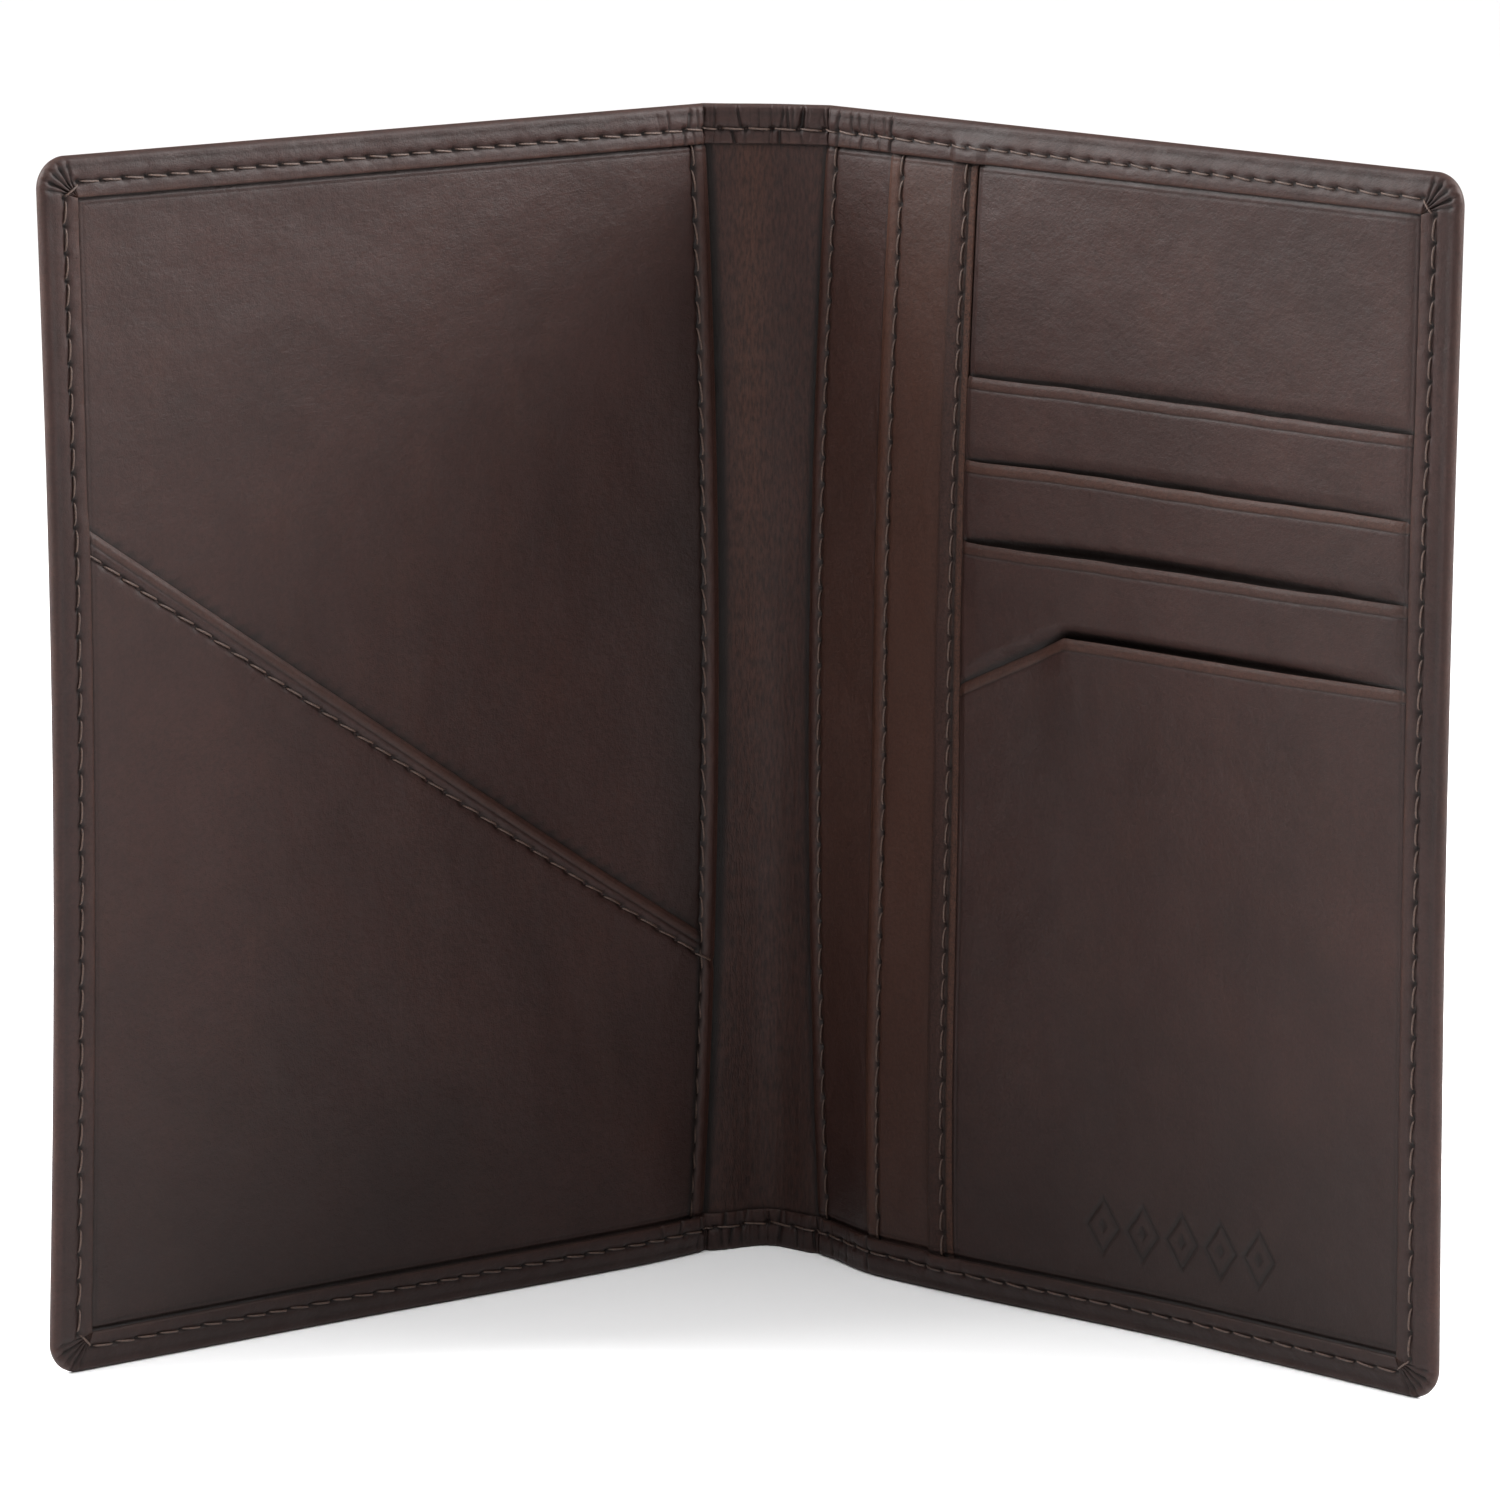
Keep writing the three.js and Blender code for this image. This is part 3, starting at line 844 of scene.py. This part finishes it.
def shell_half(side):
    """Outside leather of half the wallet, with its edges turned over the inside, as one sheet."""
    t = outline_stations()
    outer, inner = outline_at(OUTER, t), outline_at(INNER, t)
    run = np.interp(t, OUTER_RUN, STITCH_RUN)
    turn = np.interp(t, OUTER_RUN, CORNER_TURN)
    radius = edge_thickness(side, *inner.T) / 2

    def place(v):
        """Points (u, z) of the rim at distance v from the outer edge."""
        fraction = v / EDGE_WIDTH
        u = outer[:, 0] + (inner[:, 0] - outer[:, 0]) * fraction
        z = outer[:, 1] + (inner[:, 1] - outer[:, 1]) * fraction
        return u, z

    # Each row: distance from the outer edge, depth, normal across and inwards, dark, worn.
    rows = []
    outside_rows = (EDGE_WIDTH, 4.2, 3.7, 3.35, 3.15, 3.0, 2.85, 2.65, 2.3, 1.7)
    inside_rows = (1.1, 1.45, 1.9, 2.25, 2.5, 2.7, 2.85, 3.0, 3.15, 3.35, 3.6, 4.0, 4.4, 4.68)
    for v in outside_rows:
        holes = rim_holes(v, run)
        dip = 0.1 * ridge(v - STITCH_INSET, 0.5) + 0.42 * holes
        # Painted shade in the needle holes.
        rows.append((v, dip, 0, 1, 0.35 * holes, 0))
    for angle in np.linspace(0, math.pi, 10)[:-1]:
        v = radius - radius * math.sin(angle)
        depth = radius - radius * math.cos(angle)
        rub = 0.28 * math.sin(angle) ** 4 * (0.6 + 0.4 * waver(t, 5, 14))
        late = max(0.0, -math.cos(angle))
        depth = depth - late * (pleats(1.0, turn) + gathers(side, inner[:, 0], 1.0, t)) * 0.7
        rows.append((v, depth, math.sin(angle), math.cos(angle), 0, rub))
    for v in inside_rows:
        u, z = place(v)
        holes = rim_holes(v, run)
        creases = gathers(side, u, v, t) + pleats(v, turn)
        fold = ridge(v - 1.2, 0.28) * (0.12 + 0.06 * waver(t, 9, 18))
        front = rim_front(side, u, z, v) - creases - fold
        front = front - GROOVE_DEPTH * ridge(v - STITCH_INSET, GROOVE_WIDTH) - HOLE_DEPTH * holes
        front = front + 0.06 * waver(t, 3, 9)
        # Painted shade in the gathered creases, the pleats, the fold line, the needle holes and the seam's groove,
        # and towards the foot.
        dark = 2.4 * creases + 3.4 * fold + holes + 0.4 * ridge(v - STITCH_INSET, 0.3)
        dark = np.maximum(np.clip(dark, 0, 0.95), 0.8 * foot_shade(u, z))
        worn = 0.12 + 0.13 * waver(t, 21, 11) + 0.5 * ridge(turn - 0.5, 0.5) * (turn > 0)
        worn = worn * smooth((v - 4.2) / 0.3)
        rows.append((v, front, 0, -1, dark, worn))
    surface = Surface()
    face, rear = [], []
    for v, depth, normal_v, normal_d, dark, worn in rows:
        u, z = place(v)
        face.append(surface.add(along(side, u), depth, z, worn, dark))
        u, z = place(v + normal_v * FLANGE_SHEET)
        rear.append(surface.add(along(side, u), depth + normal_d * FLANGE_SHEET, z, worn, dark))
    # The cut end of the turned edge, rounded.
    end = []
    last = rows[-1][1]
    for v, drop in ((4.78, 0.08), (4.82, 0.23), (4.77, 0.38)):
        u, z = place(v)
        end.append(surface.add(along(side, u), last - drop, z, 0.2, 0.6))
    sheet = np.array(face + end + rear[::-1])
    surface.grid(sheet)
    for column, flip in ((0, True), (-1, False)):
        front_side = np.array(face)[:, column]
        back_side = np.array(rear)[:, column]
        surface.grid(np.array([front_side, back_side]).T, flip=not flip)
        closing = [face[-1][column]] + [row[column] for row in end] + [rear[-1][column]]
        surface.polygon(closing[::-1] if flip else closing)
    head = len(t) // 2
    near = inner[:head, 0]
    columns = np.concatenate([near[near < 6.5], spaced(8, COVER_WIDTH - EDGE_WIDTH, 3.0)])
    heights = np.linspace(HEIGHT - EDGE_WIDTH, EDGE_WIDTH, 50)
    u, z = grid_of(columns, heights)
    outside = surface.add(along(side, u), 0 * u, z)
    inside = surface.add(along(side, u), 0 * u + FLANGE_SHEET, z)
    surface.grid(outside)
    surface.grid(inside, flip=True)
    surface.grid(np.array([outside[0], inside[0]]).T)
    piece = surface.build("shell_" + NAME[side], SHELL_LEATHER)
    return piece


# ---- Threads ----

def add_stitch(surface, side, start, end, depth_of, outward=1, slant=0.1):
    """One arched thread between two needle holes given as (u, z)."""
    sides = 7
    length = float(np.hypot(*(end - start)))
    way = (end - start) / length
    across = np.array([-way[1], way[0]])
    rings = []
    # Place along the stitch, height over the leather and share of the full thickness.
    profile = (
        (0.08, -0.26, 0.0), (0.09, -0.22, 0.75), (0.16, -0.03, 0.95), (0.28, 0.07, 1.05),
        (0.5, 0.11, 1.1),
        (0.72, 0.07, 1.05), (0.84, -0.03, 0.95), (0.91, -0.22, 0.75), (0.92, -0.26, 0.0),
    )
    turn = np.linspace(0, 2 * math.pi, sides, endpoint=False)
    for place, height, thick in profile:
        middle = start + way * length * place + across * slant * (1 - 2 * place)
        reach = THREAD_RADIUS * thick
        u = middle[0] + across[0] * reach * np.cos(turn)
        z = middle[1] + across[1] * reach * np.cos(turn)
        depth = depth_of(*middle) + outward * (height + reach * np.sin(turn))
        rings.append(surface.add(along(side, u), depth, z))
    surface.grid(np.array(rings), closed=True)


def rim_point(run):
    t = np.interp(run, STITCH_RUN, OUTER_RUN)
    outer, inner = outline_at(OUTER, t), outline_at(INNER, t)
    return outer + (inner - outer) * STITCH_INSET / EDGE_WIDTH


def rim_stitching(side):
    """The stitching round the rim of half the wallet, seen on the inside and the outside."""
    surface = Surface()
    chance = random.Random(31)

    def inside(u, z):
        return rim_front(side, u, z, STITCH_INSET) - 0.1

    for index in range(RIM_STITCHES):
        start, end = rim_point(index * RIM_PITCH), rim_point((index + 1) * RIM_PITCH)
        slant = side * (0.14 + chance.uniform(-0.06, 0.06))
        add_stitch(surface, side, start, end, inside, slant=slant)
        add_stitch(surface, side, start, end, lambda u, z: 0.08, outward=-1, slant=slant)
    piece = surface.build("rim_stitching_" + NAME[side], THREAD)
    return piece


def seam_stitching(name, side, depth_of):
    """The stitching of one seam, on leather whose depth is depth_of(u, z)."""
    surface = Surface(side)
    line = SEAMS[name]
    chance = random.Random(name + "_seam")
    for index in range(line.count):
        start = line.start + line.way * line.pitch * index
        end = line.start + line.way * line.pitch * (index + 1)
        add_stitch(surface, side, start, end, depth_of, slant=0.12 + chance.uniform(-0.07, 0.07))
    piece = surface.build(name + "_seam", THREAD)
    attach(piece, side, name + "_stitching")


# ---- Lining and pockets ----

BOARD_EDGE = 3.0  # the boards end this far from the crease and from the outline
TUCK = 4.05  # pocket sheets end this far inside the wallet's outline, under the turned edge
SHEET_FOOT, SHEET_HEAD, SHEET_END = TUCK, HEIGHT - TUCK, COVER_WIDTH - TUCK


def upright_rows(line):
    """Heights for a sheet with an upright seam: six rows to each stitch."""
    inside = line.start[1] + hole_rows(line.pitch, line.count)
    inside = inside[(inside > EDGE_WIDTH + 1.3) & (inside < HEIGHT - EDGE_WIDTH - 1.3)]
    beside_rim = EDGE_WIDTH + BESIDE_RIM
    ends = [SHEET_FOOT, *beside_rim, *(HEIGHT - beside_rim), SHEET_HEAD]
    return np.sort(np.concatenate([ends, inside]))[::-1]


def lining_half(side):
    """The lining leather, seen on the spine and hidden under the pockets of the cover."""
    columns = np.concatenate([spaced(-HALF_SPINE, 3, 0.35), spaced(4, SHEET_END, 4.0)])
    beside_rims = [(EDGE_WIDTH + 0.3, 0.6, 0.2), (HEIGHT - EDGE_WIDTH - 0.3, 0.6, 0.2)]
    rows = spaced(SHEET_FOOT, SHEET_HEAD, 1.0, beside_rims)
    u, z = grid_of(columns, rows[::-1])
    front = LINING_FRONT + 0 * u
    folds = waver(u * 2.2 + 0.4 * waver(z, 8, 40), 14 + side, 3.0) * waver(z, 15 + side, 60)
    front = front + 0.1 * folds * smooth((1 - u) * 2) * smooth((u + HALF_SPINE) * 2)
    # Painted shade on the lining under the pockets' free edges and along the turned edges at head and foot.
    edge = 0.3 - 2.1 * between_rims(z) if side == LEFT else -0.6 - 1.9 * between_rims(z)
    inside = np.minimum(z, HEIGHT - z) - EDGE_WIDTH
    dark = np.maximum(0.95 * smooth((u - edge + 0.6) / 0.7), 0.7 * smooth((0.5 - inside) / 0.6))
    warm = 0.3 * ridge(side * (u + HALF_SPINE) + 2.6, 2.2) * smooth((z - 30) / 90)
    return leather_sheet("lining_" + NAME[side], side, u, z, front, 0.12, LINING_LEATHER,
                         (warm, dark), bends=True)


def cover_board(side):
    """The stiffening board inside a cover, hidden between its outside leather and its lining."""
    columns = spaced(BOARD_EDGE, COVER_WIDTH - BOARD_EDGE, 3.0)
    u, z = grid_of(columns, spaced(BOARD_EDGE, HEIGHT - BOARD_EDGE, 3.0)[::-1])
    name = "board_" + NAME[side]
    return leather_sheet(name, side, u, z, BOARD_FRONT, 0.25, BOARD)


def hem_fine(start, line):
    """Where a sheet needs columns close together: at its seam and its free edge."""
    return [(line.start[0], 0.5, FINE), (start, 0.6, 0.2)]


def sleeve_front(u, z):
    hem = 0.45 * smooth((SLEEVE_EDGE + SEAM_INSET + 0.1 - u) / 0.4)
    droop = 0.35 * ridge(u - SLEEVE_EDGE, 0.5)
    return SLEEVE_FRONT + left_swell(u, z) + hem - droop


def passport_sleeve():
    line = SEAMS["passport_sleeve"]
    columns = spaced(SLEEVE_EDGE, SHEET_END, 2.0, [*hem_fine(SLEEVE_EDGE, line), RIM_FINE])
    u, z = grid_of(columns, upright_rows(line))
    groove, hole = stitched(u, z, line)
    across = stitched(u, z, SEAMS["diagonal_pocket"])[0]
    near_hem = u < line.start[0]
    front = sleeve_front(u, z) - groove - across * near_hem
    warm = 0.08 * smooth((line.start[0] - u) / 0.3) + 0.18 * ridge(u - SLEEVE_EDGE, 0.18)
    # Painted shade: a dark band beside the seam, where the swelling sleeve turns away from the light.
    painted_curve_shade = 0.62 * ridge(np.maximum(u - line.start[0], 0), 5.5) * between_rims(z) * ~near_hem
    above = z - diagonal_height(u)
    # Painted shadow in the mouth of the diagonal pocket, just above its edge.
    painted_gap_shade = 0.95 * smooth((1.05 - above) / 0.5) * smooth((above + 2) / 1.0)
    dark = seam_shade(u, line, hole) + painted_curve_shade + painted_gap_shade * ~near_hem
    pocket("passport_sleeve", LEFT, u, z, front, LEATHER_EDGE, POCKET_LEATHER, warm, dark)


def diagonal_front(u, z):
    return DIAGONAL_FRONT + left_swell(u, z)


def below_edge(top, columns, fine, count):
    """Grid under an edge whose height is top(u): fine rows beside the edge, then count even ones."""
    u, below = grid_of(columns, fine)
    z_fine = top(u) - below
    start, low = z_fine[:, -1:], EDGE_WIDTH + 1.2
    z_rest = start + (low - start) * np.linspace(0, 1, count + 1)[None, 1:]
    foot = np.append(EDGE_WIDTH + np.arange(1.04, -0.4, -FINE), SHEET_FOOT)
    z_foot = np.broadcast_to(foot, (len(columns), len(foot)))
    z = np.concatenate([z_fine, z_rest, z_foot], 1)
    return np.broadcast_to(columns[:, None], z.shape), z


# Distances below a folded edge where its sheet has rows: at the fold, the pressed line and the seam.
SEAM_ROWS = np.array([
    0, 0.12, 0.3, 0.6, 0.9, 1.1, 1.25, 1.4, 1.6, 1.9, 2.2, 2.4, 2.55, 2.7, 2.85, 3.0, 3.3, 3.8, 4.6])
FOLD_ROWS = np.array([0, 0.1, 0.25, 0.5, 0.8, 1.05, 1.2, 1.3, 1.4, 1.55, 1.8, 2.3])


def diagonal_pocket():
    line = SEAMS["diagonal_pocket"]
    start = SLEEVE_EDGE + SEAM_INSET + 0.45
    pitch_u = line.pitch * line.way[0]
    holes = line.start[0] + np.arange(line.count + 1) * pitch_u
    offsets = np.array([-0.3, 0, 0.3, pitch_u / 3, pitch_u / 2, pitch_u * 2 / 3])
    columns = np.sort((holes[:, None] + offsets).reshape(-1))
    beside_rim = COVER_WIDTH - EDGE_WIDTH - BESIDE_RIM[::-1]
    columns = columns[(columns > start + 0.9) & (columns < beside_rim[0] - 0.1)]
    columns = np.concatenate([start + np.array([0, 0.2, 0.4, 0.6, 0.8]), columns, beside_rim, [SHEET_END]])
    u, z = below_edge(diagonal_height, columns, SEAM_ROWS, 34)
    groove, hole = stitched(u, z, line)
    beneath = diagonal_height(u) - z
    pressed = ridge(beneath - FOLD_LINE, 0.16)
    lip = smooth(1 - beneath / 3.5)
    stand_off = 0.35 * np.sin(np.clip((u - start) / (SHEET_END - start), 0, 1) * math.pi)
    front = diagonal_front(u, z) - groove - 0.13 * pressed - 0.2 * ridge(beneath, 0.25) + stand_off * lip
    warm = 0.15 * smooth((FOLD_LINE - beneath) / 0.25 + 0.5)
    # Painted shade: at the pocket's end under the sleeve's hem and in a band beside it, in the holes, the pressed
    # line and a line by the seam, and towards the foot.
    hem = 0.8 * smooth((start + 0.7 - u) / 0.6) + 0.3 * smooth((start + 6 - u) / 6)
    dark = hole + 0.6 * pressed + 0.4 * ridge(beneath - 2.65, 0.3) + hem + foot_shade(u, z)
    pocket("diagonal_pocket", LEFT, u, z, front, LEATHER_EDGE, POCKET_LEATHER, warm, dark)


def slip_pocket(node, start, front_depth, material, hem_warmth, next_edge):
    """A full-height pocket of the right cover with a folded, stitched free edge."""
    line = SEAMS[node]
    columns = spaced(start, SHEET_END, 2.2, [*hem_fine(start, line), (next_edge - 0.4, 0.5, 0.18)])
    u, z = grid_of(columns, upright_rows(line))
    groove, hole = stitched(u, z, line)
    beyond = smooth((line.start[0] - u) / 0.3 + 0.5)
    front = front_depth + right_swell(u, z) - groove + 0.12 * beyond - 0.25 * ridge(u - start, 0.3)
    if node == "inner_slip_pocket":
        wrinkle = waver(u * 1.6 + z * 0.35 + waver(z, 4, 25), 17, 2.4)
        front = front + 0.05 * wrinkle * smooth((u - start - SEAM_INSET) / 1.0)
    # Painted light: the pocket is lighter and warmer towards mid height, away from its hem.
    inside = 0.2 * between_rims(z) * (1 - beyond)
    warm = hem_warmth * beyond + 0.3 * ridge(u - start, 0.15) + inside
    # Painted shade in the seam's holes and groove and under the next sheet's free edge.
    dark = seam_shade(u, line, hole) + under_edge(u, next_edge - 0.1)
    pocket(node, RIGHT, u, z, front, THIN_LEATHER, material, warm, dark)


# ---- Card panel, its binding, slots and front pocket ----

BINDING_WIDTH = 3.5
BINDING_LEATHER = 0.36
BINDING_SEAM = SEAM_INSET + 0.35
SLOT_START = PANEL_START + 3.0


def card_panel():
    columns = spaced(PANEL_START + 0.15, SHEET_END, 1.2, [(SLOT_START + 1, 1.0, 0.2), RIM_FINE])
    beside_rim = (HEIGHT - EDGE_WIDTH - 0.4, 0.7, 0.16)
    rows = spaced(SHEET_FOOT, SHEET_HEAD, 1.0, [(SLOT_TOPS[0] + 0.6, 1.0, 0.16), beside_rim])[::-1]
    u, z = grid_of(columns, rows)
    ripple = 0.16 * ridge(u - 41 - 1.2 * np.sin(z / 9), 1.3) + 0.1 * ridge(u - 45.5, 1.0)
    ripple = ripple * smooth((z - 108) / 6) * smooth((137 - z) / 14)
    above = z - SLOT_TOPS[0]
    front = PANEL_FRONT + 0.4 * above_mouth(above) * slot_ends(u) + right_swell(u, z) + ripple
    # Painted shade in the mouth of the first slot.
    dark = mouth_shade(above, 0.62 + 0.2 * slot_ends(u) * smooth((u - SLOT_START) / 18))
    pocket("card_panel", RIGHT, u, z, front, THIN_LEATHER, POCKET_LEATHER, 0.0, dark, beside_frame, 0.97)


def beside_frame(u, z):
    """Grooves and shade on the card panel's sheets beside the binding and the turned edge."""
    groove, shade = rim_shadow(u, z)
    at_binding = ridge(u - PANEL_START - BINDING_WIDTH - 0.12, 0.24)
    pressed = ridge(u - PANEL_START - BINDING_WIDTH - 0.9, 0.14)
    return groove + 0.2 * at_binding + 0.08 * pressed, shade + 0.9 * at_binding + 0.4 * pressed


def above_mouth(above):
    """0 in a slot's mouth, rising to 1 on the leather above it, which curls back into the mouth."""
    return smooth((above + 0.2) / 2.4)


def mouth_shade(above, thickness):
    """Painted shade in a slot's mouth."""
    return 0.96 * smooth((thickness - above) / 0.35)


def slot_ends(u):
    """1 along a slot, falling to 0 where its ends are held under the binding and the turned edge."""
    return smooth((u - SLOT_START - 0.4) / 1.6) * smooth((SHEET_END - 0.5 - u) / 2.5)


def binding_front(u, z):
    inside = u - PANEL_START
    step = 0.25 * smooth((BINDING_SEAM + 0.35 - inside) / 0.3 + 0.5)
    return SLOT_FRONT + 0.1 + right_swell(u, z) + step


def panel_binding():
    line = SEAMS["card_panel"]
    end = PANEL_START + BINDING_WIDTH
    close = [(line.start[0], 0.4, FINE), (PANEL_START, 0.3, 0.15), (end, 0.3, 0.15)]
    columns = spaced(PANEL_START, end, 0.4, close)
    u, z = grid_of(columns, upright_rows(line))
    groove, hole = stitched(u, z, line)
    beyond = smooth((u - line.start[0] - 0.25) / 0.25 + 0.5)
    pressed = ridge(u - end + 0.75, 0.1)
    front = binding_front(u, z) - groove - 0.22 * ridge(u - PANEL_START, 0.3) - 0.1 * pressed
    front = front - 0.12 * ridge(u - end, 0.3)
    warm = 0.1 + 0.4 * beyond + 0.3 * ridge(u - PANEL_START, 0.15)
    # Painted shade in the holes, beside the seam and in the pressed line.
    dark = hole + 0.6 * ridge(u - line.start[0] - 0.35, 0.2) + 0.6 * pressed
    pocket("card_panel_binding", RIGHT, u, z, front, BINDING_LEATHER, SUEDE_LEATHER, warm, dark)


def mouth_width(u, most):
    """How far a slot's edge stands off what is behind it, along its length."""
    t = np.clip((u - SLOT_START) / (SHEET_END - SLOT_START), 0, 1)
    return most * np.sin(math.pi * t ** 0.75) ** 0.8


# How far each slot's edge stands off, and the edge below it, its fold's warmth and its height.
SLOT_SHAPES = ((0.5, 0.6, 0.14, 11.6), (0.6, 1.5, 0.3, 11.6), (1.5, 1.2, 0.16, 21.0))


def slot_strip(index, most, next_most, fold_warmth, drop):
    """A card slot: a strip with a folded top edge, curling back into the mouth of the slot below."""
    top = SLOT_TOPS[index - 1]
    columns = spaced(SLOT_START, SHEET_END, 1.0, [(SLOT_START + 0.9, 1.0, 0.2), RIM_FINE])
    rows = np.concatenate([FOLD_ROWS, np.linspace(2.9, drop, round(4.2 * drop))])
    u, below = grid_of(columns, rows)
    z = top - below + 0.12 * waver(u, 40 + index, 60)
    pressed = ridge(below - FOLD_LINE, 0.14)
    next_top = front_pocket_top(u) if index == 3 else SLOT_TOPS[index]
    above = z - next_top
    raised = (0.4 + mouth_width(u, most)) * slot_ends(u)
    front = SLOT_FRONT + right_swell(u, z) + raised * above_mouth(above)
    front = front - 0.1 * pressed - 0.14 * ridge(below, 0.2)
    warm = fold_warmth * smooth((FOLD_LINE - below) / 0.2 + 0.5)
    # Painted shade in the pressed line and in the mouth of the slot or pocket below.
    shade = 0.62 + 0.5 * mouth_width(u, next_most) * slot_ends(u)
    dark = 0.6 * pressed + mouth_shade(above, shade)
    name = f"card_slot_{index}"
    pocket(name, RIGHT, u, z, front, SLOT_LEATHER, POCKET_LEATHER, warm, dark, beside_frame, 0.97)


def front_pocket_top(u):
    width, height = FRONT_CUT
    return FRONT_POCKET_TOP - height * np.clip(1 - (u - SLOT_START) / width, 0, 1)


def motif_depth(u, z):
    """A debossed row of plain lozenges."""
    centre_u, centre_z = MOTIF_CENTRE
    total = np.zeros(u.shape)
    for step in range(-2, 3):
        reach = np.abs(u - centre_u - step * 6.0) / 2.6 + np.abs(z - centre_z) / 3.6
        total = total + ridge(reach - 0.9, 0.14)
        total = total + 0.8 * smooth((0.32 - reach) / 0.12)
    return total


def front_card_pocket():
    edge = SLOT_START + FRONT_CUT[0]
    centre_u = MOTIF_CENTRE[0]
    close = [(centre_u, 15.5, 0.2), (edge, 0.8, 0.3), (SLOT_START + 0.9, 1.0, 0.2), RIM_FINE]
    columns = spaced(SLOT_START, SHEET_END, 0.9, close)
    stretches = ((18.2, 66, 1.5), (7.2, 17.8, 0.2), (SHEET_FOOT, 6.9, FINE))
    heights = np.concatenate([spaced(*stretch)[::-1] for stretch in stretches])
    u_fine, below = grid_of(columns, np.append(FOLD_ROWS, [3.0, 4.0]))
    u_rest, z_rest = grid_of(columns, heights)
    u = np.concatenate([u_fine, u_rest], 1)
    z = np.concatenate([front_pocket_top(u_fine) - below, z_rest], 1)
    beneath = front_pocket_top(u) - z
    pressed = ridge(beneath - FOLD_LINE, 0.14)
    lean = smooth(1 - beneath / 22)
    stand_off = 1.2 * smooth((u - edge + 5) / 7) * smooth((SHEET_END - 1 - u) / 22) * lean ** 3
    motif = motif_depth(u, z)
    front = SLOT_FRONT + right_swell(u, z) + 0.4 * lean * slot_ends(u) + stand_off
    front = front - 0.1 * pressed - 0.14 * ridge(beneath, 0.2) - 0.2 * motif
    warm = 0.26 * smooth((FOLD_LINE - beneath) / 0.2 + 0.5)
    # Painted shade in the pressed line and towards the foot; the debossed motif is darker.
    dark = 0.6 * pressed + 0.5 * motif + foot_shade(u, z)
    pocket("front_card_pocket", RIGHT, u, z, front, SLOT_LEATHER, POCKET_LEATHER, warm, dark, beside_frame)


# ---- Putting it together ----

def shell_nodes(side):
    """The CAD nodes of a cover's outside leather and its turned edges."""
    edges = [f"{NAME[side]}_turned_edge_{part}" for part in ("top", "outer", "bottom")]
    return [COVER[side] + "_leather", *edges]


def over_diagonal(u, z):
    """Depth under the diagonal seam: past the pocket's end it runs on over the sleeve's hem."""
    face = sleeve_front if u < SLEEVE_EDGE + SEAM_INSET else diagonal_front
    return face(u, z) - 0.06


def build_left():
    attach(shell_half(LEFT), LEFT, *shell_nodes(LEFT))
    attach(cover_board(LEFT), LEFT, "left_stiffener")
    attach(lining_half(LEFT), LEFT, "left_lining")
    passport_sleeve()
    diagonal_pocket()
    attach(rim_stitching(LEFT), LEFT, "left_edge_stitching")
    seam_stitching("passport_sleeve", LEFT, lambda u, z: sleeve_front(u, z) - 0.06)
    seam_stitching("diagonal_pocket", LEFT, over_diagonal)


def build_right():
    """The right half, which also stands for the spine."""
    spine = ("spine_leather", "spine_turned_edge_top", "spine_turned_edge_bottom")
    attach(shell_half(RIGHT), RIGHT, *shell_nodes(RIGHT), *spine)
    attach(cover_board(RIGHT), RIGHT, "right_stiffener")
    attach(lining_half(RIGHT), RIGHT, "right_lining", "spine_lining")
    spine = ("spine_stitching_top", "spine_stitching_bottom")
    attach(rim_stitching(RIGHT), RIGHT, "right_edge_stitching", *spine)
    inner = ("inner_slip_pocket", INNER_EDGE, INNER_SLIP_FRONT)
    outer = ("outer_slip_pocket", OUTER_SLIP_START, OUTER_SLIP_FRONT)
    slip_pocket(*inner, POCKET_LEATHER, 0.12, OUTER_SLIP_START)
    slip_pocket(*outer, WARM_LEATHER, 0.3, PANEL_START)
    card_panel()
    panel_binding()
    for index, shape in enumerate(SLOT_SHAPES, 1):
        slot_strip(index, *shape)
    front_card_pocket()
    for name, _, front in (inner, outer):
        seam_stitching(name, RIGHT, lambda u, z: front + right_swell(u, z) - 0.04)
    seam_stitching("card_panel", RIGHT, lambda u, z: binding_front(u - 0.3, z) - 0.1)


add_camera()
add_floor()
add_studio()
build_left()
build_right()
bpy.context.view_layer.update()
